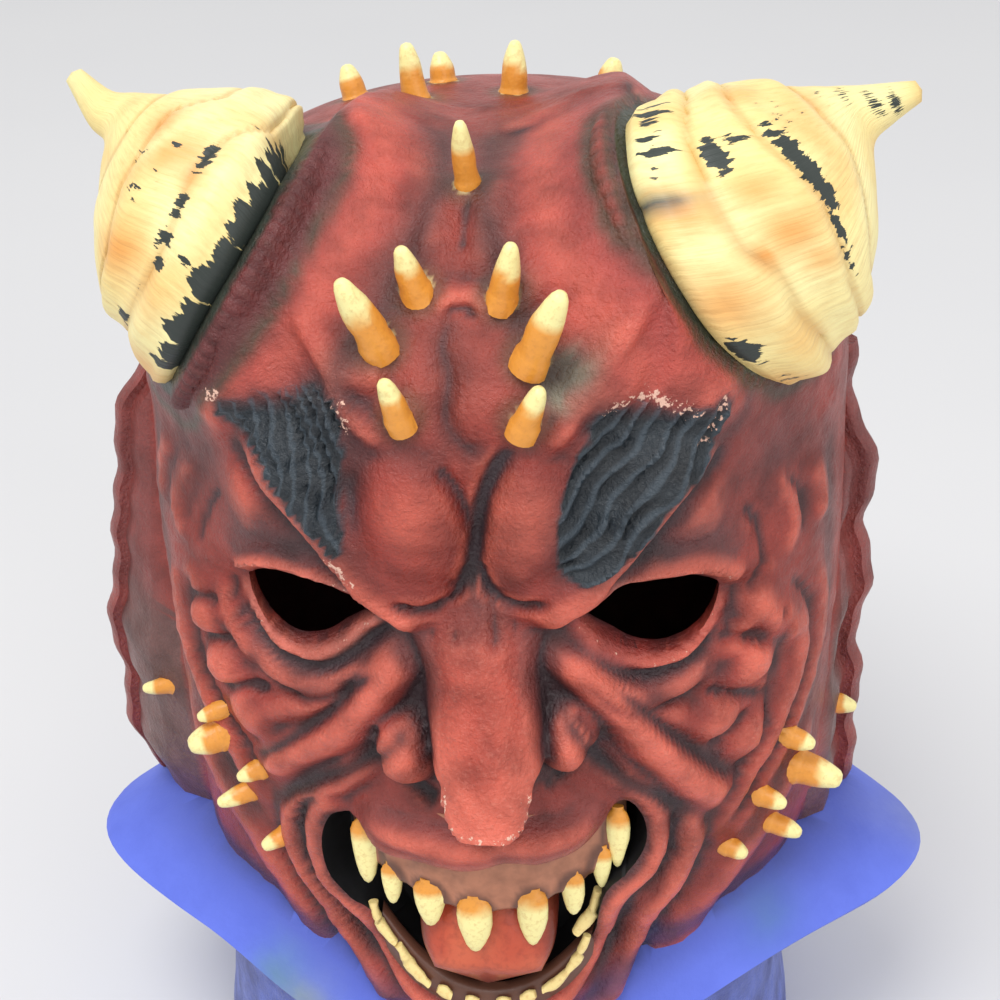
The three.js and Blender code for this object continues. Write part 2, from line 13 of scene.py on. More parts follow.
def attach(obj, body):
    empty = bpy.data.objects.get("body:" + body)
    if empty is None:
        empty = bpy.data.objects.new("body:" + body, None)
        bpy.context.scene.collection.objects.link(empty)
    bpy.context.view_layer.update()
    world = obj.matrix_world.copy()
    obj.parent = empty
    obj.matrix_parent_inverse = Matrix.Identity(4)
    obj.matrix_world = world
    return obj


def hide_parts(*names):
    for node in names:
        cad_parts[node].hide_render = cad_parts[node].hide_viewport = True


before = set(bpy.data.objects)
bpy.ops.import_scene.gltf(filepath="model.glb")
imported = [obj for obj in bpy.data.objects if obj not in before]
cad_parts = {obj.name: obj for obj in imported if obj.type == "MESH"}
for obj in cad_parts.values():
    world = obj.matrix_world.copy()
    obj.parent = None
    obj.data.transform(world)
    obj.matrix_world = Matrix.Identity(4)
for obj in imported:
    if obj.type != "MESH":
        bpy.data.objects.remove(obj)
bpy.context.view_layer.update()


# Where the mask stands
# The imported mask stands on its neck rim. The middle of that rim gives the place of the head's axis,
# so every shape can be worked out from the line of the eyes.

EYE_HEIGHT = 215
NECK_LEAN = -4
RIM_MIDDLE_Y = 1

solid_points = np.array([vertex.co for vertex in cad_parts["latex_mask"].data.vertices]) * 1000
rim_points = solid_points[solid_points[:, 2] < 0.01]
rim_middle = (rim_points.min(axis=0) + rim_points.max(axis=0)) / 2
HEAD_PLACE = np.array([rim_middle[0] - NECK_LEAN, rim_middle[1] - RIM_MIDDLE_Y, EYE_HEIGHT])


def to_frame(points):
    return (np.asarray(points, float) + HEAD_PLACE) / 1000


# Camera
# It stands in front of the mask and above it, a little to the mask's own left, as the photo was taken.

CAMERA_PLACE = (43.2, -435.3, 245.9)
CAMERA_AZIMUTH = math.radians(5.8)
CAMERA_ELEVATION = math.radians(31)
CAMERA_ROLL = math.radians(-2.2)
FOCUS_PIXELS = 1720
PHOTO_PIXELS = 1000
SENSOR = 36

toward_camera = Vector((
    math.sin(CAMERA_AZIMUTH) * math.cos(CAMERA_ELEVATION),
    -math.cos(CAMERA_AZIMUTH) * math.cos(CAMERA_ELEVATION),
    math.sin(CAMERA_ELEVATION),
))
level = Vector((math.cos(CAMERA_AZIMUTH), math.sin(CAMERA_AZIMUTH), 0))
upright = toward_camera.cross(level)
camera_right = level * math.cos(CAMERA_ROLL) + upright * math.sin(CAMERA_ROLL)
camera_up = upright * math.cos(CAMERA_ROLL) - level * math.sin(CAMERA_ROLL)
camera_data = bpy.data.cameras.new("camera")
camera_data.sensor_width = SENSOR
camera_data.lens = FOCUS_PIXELS * SENSOR / PHOTO_PIXELS
camera_data.clip_start = 0.02
camera = bpy.data.objects.new("camera", camera_data)
camera.matrix_world = (
    Matrix.Translation(Vector(to_frame(CAMERA_PLACE)))
    @ Matrix((camera_right, camera_up, toward_camera)).transposed().to_4x4()
)
bpy.context.scene.collection.objects.link(camera)
bpy.context.scene.camera = camera


# Skin of the head
# The head is cast latex about 3 mm thick: a full skull over a straight neck. The plain form comes
# first, as superellipses from the neck rim to the crown, and the broad forms of the face ride on it.

LEVEL_UP = np.array([-215, -185, -155, -125, -95, -60, -20, 25])
LEVEL_HALF = np.array([97, 93, 92, 94, 97, 98, 98, 97])
LEVEL_FRONT = np.array([84, 79, 76, 75, 79, 84, 87, 88])
LEVEL_BACK = np.array([86, 82, 82, 88, 98, 107, 113, 113])
NECK_TOP = -90
NECK_BEND = 50
DOME_START = 25
DOME_RISE = 79
DOME_CENTRE = -5
DOME_BEND_FRONT = 2.5
DOME_BEND_BACK = 2.1
FRONT_SQUARENESS = 2.35
BACK_SQUARENESS = 2.1
JAW_UP = -140
# Nearer to the axis than this, the skin is pushed up more than outwards
CROWN_REACH = 75
# The runs of the face are placed where they lie on a surface this far above the broad forms
STROKE_LIFT = 5
# Distance from the middle, height, half width, half height and rise of each broad form
BROAD_FORMS = {
    "forehead": (0, 62, 70, 42, 5), "sockets": (46, -2, 31, 19, -9), "temples": (78, 28, 24, 30, -5),
    "muzzle": (0, -88, 62, 46, 17), "chin": (0, -136, 44, 34, 17),
}


def smooth(t):
    t = np.clip(t, 0, 1)
    return t * t * (3 - 2 * t)


def mix(a, b, t):
    return a + (b - a) * t


def swell(d):
    return np.clip(1 - d * d, 0, 1) ** 2


def through_levels(values, up):
    last = len(LEVEL_UP) - 1
    level_up = np.minimum(up, DOME_START)
    i = np.clip(np.searchsorted(LEVEL_UP, level_up) - 1, 0, last - 1)
    t = np.clip((level_up - LEVEL_UP[i]) / (LEVEL_UP[i + 1] - LEVEL_UP[i]), 0, 1)
    here = values[i]
    there = values[i + 1]
    slope = (there - values[np.maximum(i - 1, 0)]) / 2
    next_slope = (values[np.minimum(i + 2, last)] - here) / 2
    step = there - here
    bend = 3 * step - 2 * slope - next_slope
    return here + t * slope + t * t * bend + t ** 3 * (slope + next_slope - 2 * step)


def plain_head(turn, up, inset=0.0):
    turn, up = np.broadcast_arrays(np.asarray(turn, float), np.asarray(up, float))
    rise = np.clip((up - DOME_START) / DOME_RISE, 0, 1)
    shrink_front = (1 - rise ** DOME_BEND_FRONT) ** (1 / DOME_BEND_FRONT)
    shrink_back = (1 - rise ** DOME_BEND_BACK) ** (1 / DOME_BEND_BACK)
    middle = DOME_CENTRE * rise
    half = through_levels(LEVEL_HALF, up) * shrink_front
    front = (through_levels(LEVEL_FRONT, up) + middle) * shrink_front
    back = (through_levels(LEVEL_BACK, up) - middle) * shrink_back
    ahead = np.cos(turn) > 0
    depth = np.maximum(np.where(ahead, front, back) - inset, 0.5)
    half = np.maximum(half - inset, 0.5)
    power = np.where(ahead, FRONT_SQUARENESS, BACK_SQUARENESS)
    around = (np.abs(np.sin(turn)) / half) ** power + (np.abs(np.cos(turn)) / depth) ** power
    radius = around ** (-1 / power)
    lean = NECK_LEAN * smooth((NECK_TOP - up) / NECK_BEND)
    return lean + radius * np.sin(turn), middle - radius * np.cos(turn)


def broad_relief(x, up):
    total = 0
    for out, middle_up, half, tall, rise in BROAD_FORMS.values():
        total = total + rise * swell(np.hypot((np.abs(x) - out) / half, (up - middle_up) / tall))
    return total


def facing(turn):
    """From 0 behind the ears to 1 over the face."""
    return smooth((np.cos(turn) + 0.1) / 0.45)


def steepness(x, y):
    """From 0 on the axis, where the skin is pushed straight up, to 1 where it is pushed outwards."""
    return np.clip(np.hypot(x, y) / CROWN_REACH, 0, 1)


def head_turns(count, crowding):
    turn = 2 * math.pi * np.arange(count) / count
    return turn - crowding * np.sin(turn)


def head_heights(neck, face, dome):
    step = np.sin(math.pi / 2 * np.arange(dome) / dome) ** 0.9
    return np.concatenate([
        np.linspace(-EYE_HEIGHT, JAW_UP, neck, endpoint=False),
        np.linspace(JAW_UP, DOME_START, face, endpoint=False),
        DOME_START + DOME_RISE * step,
    ])


# True lengths over the face, so that a width of 10 mm is 10 mm on the temple and on the forehead too
FACE_HALF = 102
FACE_DEPTH = 91
side_turn = np.linspace(0, math.pi / 2, 400)
side_spread = (np.sin(side_turn) / FACE_HALF) ** FRONT_SQUARENESS
side_spread += (np.cos(side_turn) / FACE_DEPTH) ** FRONT_SQUARENESS
side_radius = side_spread ** (-1 / FRONT_SQUARENESS)
SIDE_X = side_radius * np.sin(side_turn)
side_steps = np.hypot(np.diff(SIDE_X), np.diff(side_radius * np.cos(side_turn)))
SIDE_LENGTH = np.concatenate([[0], np.cumsum(side_steps)])
FRONT_UP = np.linspace(-EYE_HEIGHT, DOME_START + DOME_RISE, 900)
front_steps = np.hypot(np.diff(FRONT_UP), np.diff(plain_head(0, FRONT_UP)[1]))
FRONT_LENGTH = np.concatenate([[0], np.cumsum(front_steps)])
FRONT_LENGTH -= np.interp(0, FRONT_UP, FRONT_LENGTH)


def over_face(x, up):
    x = np.asarray(x, float)
    beyond = np.maximum(np.abs(x) - SIDE_X[-1], 0)
    across = np.sign(x) * (np.interp(np.abs(x), SIDE_X, SIDE_LENGTH) + beyond)
    return across, np.interp(up, FRONT_UP, FRONT_LENGTH)


# The grid that the skin is carved in, closer together in front
TURN_COUNT = 252
FRONT_CROWDING = 0.58
NECK_ROWS, FACE_ROWS, DOME_ROWS = 14, 156, 84
turns = head_turns(TURN_COUNT, FRONT_CROWDING)
heights = head_heights(NECK_ROWS, FACE_ROWS, DOME_ROWS)
grid_shape = (len(heights), TURN_COUNT)
turn = np.tile(turns, len(heights))
up = np.repeat(heights, TURN_COUNT)
plain_x, plain_y = plain_head(turn, up)
ahead = facing(turn)
steep = steepness(plain_x, plain_y)
broad = broad_relief(plain_x, up)
face_x = plain_x + np.sin(turn) * (broad * ahead + STROKE_LIFT) * steep
across, along = over_face(face_x, up)


def curve(points, steps=5):
    points = np.asarray(points, float)
    padded = np.vstack([2 * points[0] - points[1], points, 2 * points[-1] - points[-2]])
    made = []
    for i in range(len(points) - 1):
        a, b, c, d = padded[i:i + 4]
        for t in np.arange(steps) / steps:
            made.append(0.5 * (2 * b + (c - a) * t + (2 * a - 5 * b + 4 * c - d) * t * t
                               + (3 * b - a - 3 * c + d) * t ** 3))
    made.append(points[-1])
    return np.array(made)


def beside(run, reach, closed=False):
    """The face points within reach of a run: which, how far off, how far along and on which side."""
    points = np.asarray(run, float)
    if closed:
        points = np.vstack([points, points[:1]])
    path = curve(points)
    path = np.column_stack(over_face(path[:, 0], path[:, 1]))
    low = path.min(axis=0) - reach
    high = path.max(axis=0) + reach
    within = (across > low[0]) & (across < high[0]) & (along > low[1]) & (along < high[1])
    near = np.flatnonzero(within & (ahead > 0))
    best = np.full(len(near), np.inf)
    place = np.zeros(len(near))
    side = np.zeros(len(near))
    steps = np.hypot(*np.diff(path, axis=0).T)
    starts = np.concatenate([[0], np.cumsum(steps)])
    for (ax, ay), (bx, by), start, step in zip(path[:-1], path[1:], starts, steps):
        dx, dy = bx - ax, by - ay
        px, py = across[near] - ax, along[near] - ay
        t = np.clip((px * dx + py * dy) / max(step * step, 1e-9), 0, 1)
        off = np.hypot(px - dx * t, py - dy * t)
        closer = off < best
        best = np.where(closer, off, best)
        place = np.where(closer, (start + t * step) / starts[-1], place)
        side = np.where(closer, np.sign(dx * py - dy * px), side)
    return near, best, place, side


# Rolls and mounds that overlap are blended softly, by adding their heights raised to this power
BLEND_POWER = 3.2
piled = np.zeros(len(turn))
cut = np.zeros(len(turn))
fine = np.zeros(len(turn))
scratched = np.zeros(len(turn))
tints = []


def fade(place, ends):
    first, last = ends
    share = np.ones(len(place))
    if first > 0:
        share = share * smooth(place / first)
    if last > 0:
        share = share * smooth((1 - place) / last)
    return share


def roll(run, half, height, ends=(0.25, 0.25)):
    """A rounded fold of flesh; half may be two widths, for the left and the right of the run."""
    left, right = half if isinstance(half, tuple) else (half, half)
    near, off, place, side = beside(run, max(left, right))
    d = off / np.where(side > 0, left, right)
    rise = height * np.clip(1 - d * d, 0, 1) ** 1.4 * fade(place, ends)
    piled[near] += rise ** BLEND_POWER


def mound(x, height_up, half, tall, height, tilt=0.0, power=1.4):
    mx, my = over_face(x, height_up)
    c, s = math.cos(math.radians(tilt)), math.sin(math.radians(tilt))
    u = (across - mx) * c + (along - my) * s
    v = (along - my) * c - (across - mx) * s
    d = np.hypot(u / half, v / tall)
    piled[:] += (height * np.clip(1 - d * d, 0, 1) ** power * (ahead > 0)) ** BLEND_POWER


def crease(run, half, depth, ends=(0.2, 0.2)):
    near, off, place, _ = beside(run, half * 2.6)
    cut[near] = np.maximum(cut[near], depth * np.exp(-(off / half) ** 2) * fade(place, ends))


def welt(run, half, height, ends=(0.15, 0.15)):
    """A thin raised line on top of the larger forms."""
    near, off, place, _ = beside(run, half * 2.6)
    fine[near] += height * np.exp(-(off / half) ** 2) * fade(place, ends)


def linear(code):
    parts = [int(code[i:i + 2], 16) / 255 for i in (1, 3, 5)]
    return np.array([part / 12.92 if part <= 0.04045 else ((part + 0.055) / 1.055) ** 2.4 for part in parts])


def spot(x, height_up, half, tall):
    mx, my = over_face(x, height_up)
    return np.exp(-((across - mx) / half) ** 2 - ((along - my) / tall) ** 2) * (ahead > 0)


def band(run, half, ends=(0.1, 0.1)):
    near, off, place, _ = beside(run, half * 2.6)
    share = np.zeros(len(turn))
    share[near] = np.exp(-(off / half) ** 2) * fade(place, ends)
    return share


def grain(points, size, seed):
    """Soft random bumps between -1 and 1, each about size mm across."""
    lattice = np.random.default_rng(seed).random((32, 32, 32)) * 2 - 1
    place = np.asarray(points, float) / size
    cell = np.floor(place).astype(int)
    part = place - cell
    part = part * part * (3 - 2 * part)
    total = np.zeros(len(place))
    for corner in np.ndindex(2, 2, 2):
        weight = np.prod(np.where(corner, part, 1 - part), axis=1)
        a, b, c = ((cell + corner) % 32).T
        total += weight * lattice[a, b, c]
    return total


# Forehead
# Two broad cast ridges run down from the crown beside a pebbly plate, and two bulges meet over the
# nose. The plate is a duller red than the ridges, and its grooves are airbrushed dark.

FOREHEAD_RED = linear("#9c4136")
RIDGE_RED = linear("#b8433a")
GROOVE_WASH = linear("#3f2a2a")
WORN_GREY = linear("#a3a892")
LEFT_RIDGE = [(-38.5, 101.3), (-40, 98), (-41.4, 93.4), (-46, 84.7), (-51.3, 75), (-58, 64),
              (-66, 54), (-78, 45)]
RIGHT_RIDGE = [(26.4, 103), (28, 100), (31, 94.3), (37, 86), (44, 77), (52, 66), (61, 57), (76, 48)]
LEFT_GROOVE = [(-23.5, 103), (-22, 100), (-22.7, 94.4), (-27.4, 86.8), (-36.3, 76.6), (-42, 66), (-46, 60)]
RIGHT_GROOVE = [(10.7, 103.6), (12.7, 100.2), (14.3, 94.8), (20.7, 87.3), (29, 79.4), (40.6, 68.8), (46, 61)]
PLATE_VALLEY = [(-2, 80), (-5, 73), (-3.3, 67), (-4, 57), (1, 51), (8.7, 50.4)]
BULGE_GAP = [(13, 53), (8.6, 46.7), (4.8, 38), (2.5, 26.3), (0.5, 16), (-0.5, 8)]

roll(LEFT_RIDGE, 13, 6.5, ends=(0.05, 0.25))
roll(RIGHT_RIDGE, 14, 7, ends=(0.05, 0.25))
crease(LEFT_GROOVE, 4.5, 2.6, ends=(0.02, 0.2))
crease(RIGHT_GROOVE, 4.5, 2.8, ends=(0.02, 0.2))
roll([(-18.8, 103.5), (-12.6, 101), (-8.6, 96.9), (-9, 90), (-13, 84)], 6, 3.4)
roll([(2, 101), (4, 95), (4, 89), (3, 83)], 6, 3.4)
crease([(-0.4, 97.4), (-0.6, 94), (-1, 88)], 1.5, 1.3)
crease(PLATE_VALLEY, 2.4, 1.7)
crease([(-5, 78), (-3, 80), (0, 80), (4, 78)], 1.4, 1)
mound(8, 64, 12, 14, 1.6)
mound(-13, 63, 9, 14, 1.4)
for spike_x, spike_up in [(-15, 60), (-21, 74), (-12, 84), (15, 58), (17, 72), (11, 83), (-2, 98)]:
    mound(spike_x, spike_up, 7.5, 7.5, 3.2)
roll([(-36, 66), (-26, 68), (-16, 67)], 7, 3.4)
roll([(20, 64), (32, 62), (44, 64)], 7, 3.4)
roll([(-28, 78), (-33, 71), (-31, 62), (-24, 55), (-14, 51)], 4, 2.8)
roll([(26, 78), (29, 70), (28, 60), (22, 53), (15, 50)], 4, 2.8)
roll([(-9, 79), (-3, 82), (3, 82), (8, 78)], 3.5, 2.6)
mound(-14.5, 28, 16, 24, 8, power=1.1)
mound(15.5, 28, 14.5, 23, 8, tilt=-8, power=1.1)
crease(BULGE_GAP, 2.2, 4.5)
crease([(-8, 48), (-3, 41), (0, 33), (1, 26)], 1.8, 2)
crease([(-21, 9.5), (-12, 6.5), (-5, 8.5), (-1.5, 14), (0.5, 21)], 1.7, 3.6)
crease([(21, 10), (12, 7.5), (6, 9.5), (3, 15), (2, 22)], 1.7, 3.6)
crease([(-4.5, 16), (-4, 7), (-4, -3)], 1.8, 1.6)
crease([(6.5, 14), (6, 6), (6, -5)], 2, 1.9)
on_plate = smooth((up - 46) / 22) * (1 - smooth((np.abs(across) - 34) / 26)) * (ahead > 0)
tints += [
    (FOREHEAD_RED, 0.85 * on_plate),
    (RIDGE_RED, 0.75 * band(LEFT_RIDGE, 9, ends=(0.05, 0.3))),
    (RIDGE_RED, 0.75 * band(RIGHT_RIDGE, 10, ends=(0.05, 0.3))),
    (GROOVE_WASH, 0.7 * band(LEFT_GROOVE, 5, ends=(0.02, 0.15))),
    (GROOVE_WASH, 0.8 * band(RIGHT_GROOVE, 5, ends=(0.02, 0.15))),
    (GROOVE_WASH, 0.5 * band(PLATE_VALLEY, 4)),
    (GROOVE_WASH, 0.85 * band(BULGE_GAP, 3)),
    (GROOVE_WASH, 0.75 * spot(4, 8, 7, 15)),
    (GROOVE_WASH, 0.45 * band([(-38, 44), (-30, 50), (-16, 50), (-2, 48)], 5)),
    (WORN_GREY, 0.9 * smooth(1.4 * spot(24, 66, 5, 6.5))),
]


# Brows
# Each brow is a thick roll carved into strands and painted blue-black, over a hood that hangs above
# the eye and runs on into the side of the nose. Pale latex shows where the paint has chipped.

BROW_BLACK = linear("#20282f")
BROW_WASH = linear("#4a2c30")
PIT_BLACK = linear("#0f1113")
CHIP_PINK = linear("#e6b9a4")
LEFT_BROW = [(-61, 53), (-59, 57), (-53, 58), (-40, 61.5), (-31, 61.5), (-30, 57), (-31, 47), (-31.5, 33),
             (-30, 24), (-33, 22), (-36, 27), (-42, 34), (-50, 44), (-56, 49)]
RIGHT_BROW = [(30, 52), (33, 58), (41, 59.5), (55, 57.5), (61, 59), (60, 50), (55, 41), (46, 32), (39, 22.5),
              (31, 16), (24, 17), (21, 24), (22.5, 36), (27, 46)]
LEFT_HOOD = [(-12, -4), (-15, 3), (-25, 9.5), (-33, 19), (-41, 29), (-52, 42), (-62, 53)]
RIGHT_HOOD = [(16, -3), (19, 4), (28, 9.5), (36, 19), (45, 30), (55, 42), (66, 54)]
BROW_CHIPS = [
    [(-62, 54), (-63, 57), (-58, 58)], [(-31, 62), (-29, 57), (-30, 52)], [(-34, 22), (-31, 17), (-27, 13)],
    [(32, 57), (40, 61), (50, 58), (56, 54)], [(60, 60), (58, 52), (55, 46)],
]
STRAND_SPACING = 4.6

roll(LEFT_HOOD, (7, 16), 7.5, ends=(0.12, 0.3))
roll(RIGHT_HOOD, (16, 7), 7.5, ends=(0.12, 0.3))
crease([(-28, 5.5), (-36, 16), (-45, 27), (-56, 38), (-66, 46)], 4, 2.4)
crease([(31, 6), (40, 17), (49, 28), (58, 37), (69, 45)], 4, 2.4)
welt([(-36, 22), (-32, 15), (-26, 9.5), (-18, 4), (-12.5, -4)], 1.3, 0.8)
welt([(47, 32), (41, 24), (36, 17), (29, 9), (20, 2), (16, -3)], 1.3, 0.8)


def inside(outline, soft):
    """A share from 0 outside an outline on the face to 1 inside it, over a soft edge of that width."""
    near, off, _, _ = beside(outline, 40, closed=True)
    path = curve(np.vstack([outline, outline[:1]]))
    path = np.column_stack(over_face(path[:, 0], path[:, 1]))
    px, py = across[near], along[near]
    within = np.zeros(len(near), bool)
    for (ax, ay), (bx, by) in zip(path[:-1], path[1:]):
        if ay != by:
            crosses = (ay > py) != (by > py)
            within ^= crosses & (px < (bx - ax) * (py - ay) / (by - ay) + ax)
    share = np.zeros(len(turn))
    share[near] = smooth(0.5 + np.where(within, off, -off) / soft)
    return share


face_points = np.column_stack([across, along, np.zeros(len(turn))])
sway = grain(face_points, 14, 5)
ragged = 2.4 * grain(face_points, 4, 11)
hair = np.maximum(inside(LEFT_BROW, 3.5), inside(RIGHT_BROW, 3.5))
hair = smooth((hair * 6 + ragged - 1.6) / 2.4) * (hair > 0)
left_strand = (across + 30 + 0.5 * (along - 8) + 0.012 * (along - 8) * (across + 36)) / STRAND_SPACING
right_strand = (0.78 * across - 0.62 * along + 0.012 * (across - 40) * (along - 38)) / STRAND_SPACING
strand = np.where(across < 0, left_strand, right_strand) + 0.9 * sway + 0.25 * grain(face_points, 6, 12)
strand_wave = 0.95 * np.sin(2 * math.pi * strand) + 0.6 * np.sin(2 * math.pi * (strand * 0.43 + sway))
fine += hair * (strand_wave + 0.5)
soft_brow = np.maximum(inside(LEFT_BROW, 11), inside(RIGHT_BROW, 11))
PIT_X, PIT_UP = 34.7, 50.6
pit_across, pit_along = over_face(PIT_X, PIT_UP)
pit = np.exp(-np.hypot(across - pit_across, (along - pit_along) / 1.5) ** 2 / 5)
fine -= 3 * pit
for run in BROW_CHIPS:
    scratched = np.maximum(scratched, 0.34 * band(run, 2.6))
tints += [
    (BROW_WASH, 0.6 * band([(-64, 52), (-50, 60), (-36, 64), (-28, 58), (-27, 40), (-28, 24)], 4)),
    (BROW_WASH, 0.6 * band([(28, 50), (36, 63), (50, 63), (66, 60), (66, 50), (54, 36)], 4)),
    (PIT_BLACK, pit),
]


# Eye surrounds
# A thin smooth rim edges each eye hole, with bags under it and a thin lid that hangs over it. The
# lid and the socket are airbrushed dark grey. The left rim is brushed pale and the right one red.

LID_GREY = linear("#3b2f33")
RIM_PINK = linear("#d48f80")
RIM_RED = linear("#c0504a")
LEFT_RIM = [(-63, 3), (-61.5, -6), (-57, -12), (-50, -15), (-43, -15), (-35, -10.5), (-27.5, -2.5), (-22, 2)]
RIGHT_RIM = [(23, 2), (28, -3), (33, -8.5), (40, -14), (47, -15.5), (55, -14.5), (61, -9), (63.5, 1)]
LEFT_LID = [(-65, 4), (-62.8, 7.4), (-57, 10.5), (-50, 12), (-41, 11), (-33, 8.2), (-27, 5)]
RIGHT_LID = [(29, 6), (33, 9), (38, 10.8), (45, 11.8), (55.6, 10.8), (61, 8), (66, 4.6), (68, 1)]
LEFT_UNDER_RIM = [(-65, -5), (-61, -13), (-53, -18.5), (-43, -18.5), (-34, -13.5), (-25, -5), (-18, 0)]
RIGHT_UNDER_RIM = [(19, -1), (26, -7), (34, -14), (42, -18.5), (51, -19), (59, -16), (65, -8)]
LEFT_BAG = [(-66, -15), (-58, -22), (-48, -24.5), (-38, -21), (-28, -12), (-20, -6)]
RIGHT_BAG = [(21, -7), (28, -14), (36, -21), (46, -24.5), (56, -23), (64, -17)]

roll(LEFT_LID, (3, 7), 3.4, ends=(0.08, 0.15))
roll(RIGHT_LID, (7, 3), 3.4, ends=(0.15, 0.08))
welt(LEFT_LID, 1.2, 1.5)
welt(RIGHT_LID, 1.2, 1.5)
roll(LEFT_RIM, 3, 3.4, ends=(0.06, 0.12))
roll(RIGHT_RIM, 3, 3.4, ends=(0.12, 0.06))
crease(LEFT_UNDER_RIM, 1.9, 2.2)
crease(RIGHT_UNDER_RIM, 1.9, 2.2)
roll(LEFT_BAG, 5, 3.2)
roll(RIGHT_BAG, 5, 3.2)
crease([(-64, -22), (-57, -27), (-47, -29), (-37, -24.5), (-28, -17), (-22, -12)], 1.5, 1.8)
crease([(23, -12), (30, -18), (36, -25), (45, -29), (55, -28), (63, -23)], 1.5, 1.8)
roll([(-69, 0), (-70, -10), (-66, -18), (-60, -24)], 4, 2.4)
roll([(70, 1), (72, -8), (69, -16), (66, -22)], 4, 2.4)
crease([(-67, 2), (-68, -8), (-65, -16)], 1.3, 1.4)
crease([(67, 2), (68, -8), (66, -16)], 1.3, 1.4)
tints += [
    (LID_GREY, 0.9 * spot(-47, 18, 17, 6.5)),
    (LID_GREY, 0.9 * spot(46, 18, 17, 6.5)),
    (LID_GREY, 0.55 * band([(-66, 8), (-58, 22), (-48, 30)], 6)),
    (LID_GREY, 0.55 * band([(68, 8), (60, 22), (50, 30)], 6)),
    (LID_GREY, 0.8 * band(LEFT_UNDER_RIM, 3)),
    (LID_GREY, 0.8 * band(RIGHT_UNDER_RIM, 3)),
    (LID_GREY, 0.5 * band(LEFT_BAG, 5)),
    (LID_GREY, 0.5 * band(RIGHT_BAG, 5)),
    (LID_GREY, 0.75 * spot(-20, -6, 7, 12)),
    (LID_GREY, 0.75 * spot(22, -7, 6, 12)),
    (RIM_PINK, 0.55 * band(LEFT_RIM, 1.7)),
    (RIM_RED, 0.6 * band(RIGHT_RIM, 2)),
    (RIM_PINK, 0.5 * band(LEFT_LID, 0.9)),
    (RIM_PINK, 0.5 * band(RIGHT_LID, 0.9)),
]
scratched = np.maximum(scratched, 0.22 * band(LEFT_RIM, 1.6) + 0.2 * band(RIGHT_RIM, 1.6))
scratched = np.maximum(scratched, 0.24 * band(LEFT_LID, 1.2) + 0.22 * band(RIGHT_LID, 1.2))


# Cheeks
# Three knuckles step down each cheek, and a long smile roll runs from the nose to the jaw with
# smaller folds beside it. The right and left sides differ a little. The folds and the sides of the face
# are washed dark, partly as painted shade, and the rolls and knuckles are lighter red, partly as
# painted highlight.

CHEEK_WASH = linear("#45292b")
CHEEK_RED = linear("#c4584f")
LEFT_SMILE = [(-13, -5), (-21, -13), (-29.7, -28), (-39, -38.5), (-52, -48.5), (-60, -57), (-65, -66)]
RIGHT_SMILE = [(18, -3), (27, -12), (35.5, -24), (45, -39.5), (55, -55), (63, -66), (68, -76)]
LEFT_SMILE_LOWER = [(-16, -26), (-22.5, -38), (-36, -50.5), (-48, -59.5), (-56, -67), (-61.5, -76)]
RIGHT_SMILE_LOWER = [(21, -20), (24.8, -30), (30.5, -42.4), (39.4, -53.2), (49.5, -62), (59, -72.5)]
LEFT_SMILE_UPPER = [(-28, -14), (-35.6, -24.4), (-41, -32), (-54, -46), (-62, -54), (-69, -60)]
RIGHT_SMILE_UPPER = [(32, -12), (38, -22), (46, -32), (54, -43), (63, -55), (70, -64)]

mound(-82, -6, 7, 6, 2.4, tilt=-20)
mound(-78, -16, 8.5, 7, 4.6, tilt=-25)
mound(-72.5, -29, 10.5, 9, 5.6, tilt=-30)
mound(-65, -42, 13, 10, 5.6, tilt=-30)
roll([(-70, -43), (-60, -38.5), (-50, -33), (-38, -25.6), (-30, -18)], 6.5, 4)
roll([(70, -2), (76, -8), (83, -18), (85, -28)], 6.5, 4)
mound(73, -24, 10, 9.5, 5.4, tilt=35)
mound(63.5, -38, 12, 9.5, 5.2, tilt=35)
mound(72.5, -50, 10, 9, 4.6, tilt=40)
roll([(68, -44), (58, -38), (48, -31), (40, -23)], 6.5, 3.8)
crease([(-85, -13), (-79, -10), (-73, -9)], 1.6, 1.6)
crease([(-83, -24), (-78, -22.5), (-72, -20), (-67, -20)], 1.8, 2.6)
crease([(-80, -38), (-73, -36), (-66, -32), (-58, -31)], 1.8, 2.6)
crease([(64, -13), (71, -15), (78, -19)], 1.7, 2.2)
crease([(60, -29), (66, -31), (74, -36), (80, -40)], 1.8, 2.6)
crease([(62, -48), (68, -44), (76, -42)], 1.6, 1.8)
roll(LEFT_SMILE, (8, 9), 8, ends=(0.15, 0.2))
roll(RIGHT_SMILE, (10, 8.5), 8, ends=(0.15, 0.2))
crease(LEFT_SMILE_UPPER, 1.9, 2.4)
crease(RIGHT_SMILE_UPPER, 1.9, 2.2)
crease(LEFT_SMILE_LOWER, 2.6, 3.2)
crease(RIGHT_SMILE_LOWER, 2.6, 3.2)
roll([(-84, 4), (-89, -12), (-89, -30), (-84, -46), (-77, -58), (-70, -72), (-62, -88)], 6, 2.8)
roll([(78, 0), (86, -16), (88, -33), (82, -52), (75, -64), (68, -78), (58, -93)], 5, 3)
roll([(88, 4), (94, -14), (94, -34), (88, -54), (80, -70), (70, -88), (60, -104)], 5, 2.6)
crease([(-79, 1), (-84, -12), (-84.5, -32), (-79, -47), (-71, -58), (-65, -68)], 1.7, 1.8)
crease([(82, 0), (90, -16), (91, -34), (85, -54), (77, -68), (69, -84)], 1.5, 1.8)
crease([(75, -2), (81, -14), (81, -32), (79, -48), (73, -60), (66, -72)], 1.5, 1.8)
roll([(78, 28), (82, 19), (84, 10), (80, 3)], 5, 2.4)
roll([(89, 24), (92, 14), (92, 4)], 5, 2.2)
roll([(-77, 30), (-82, 22), (-86, 12), (-82, 2)], 5, 2.2)
roll([(-88, 30), (-92, 18), (-93, 6)], 5, 2)
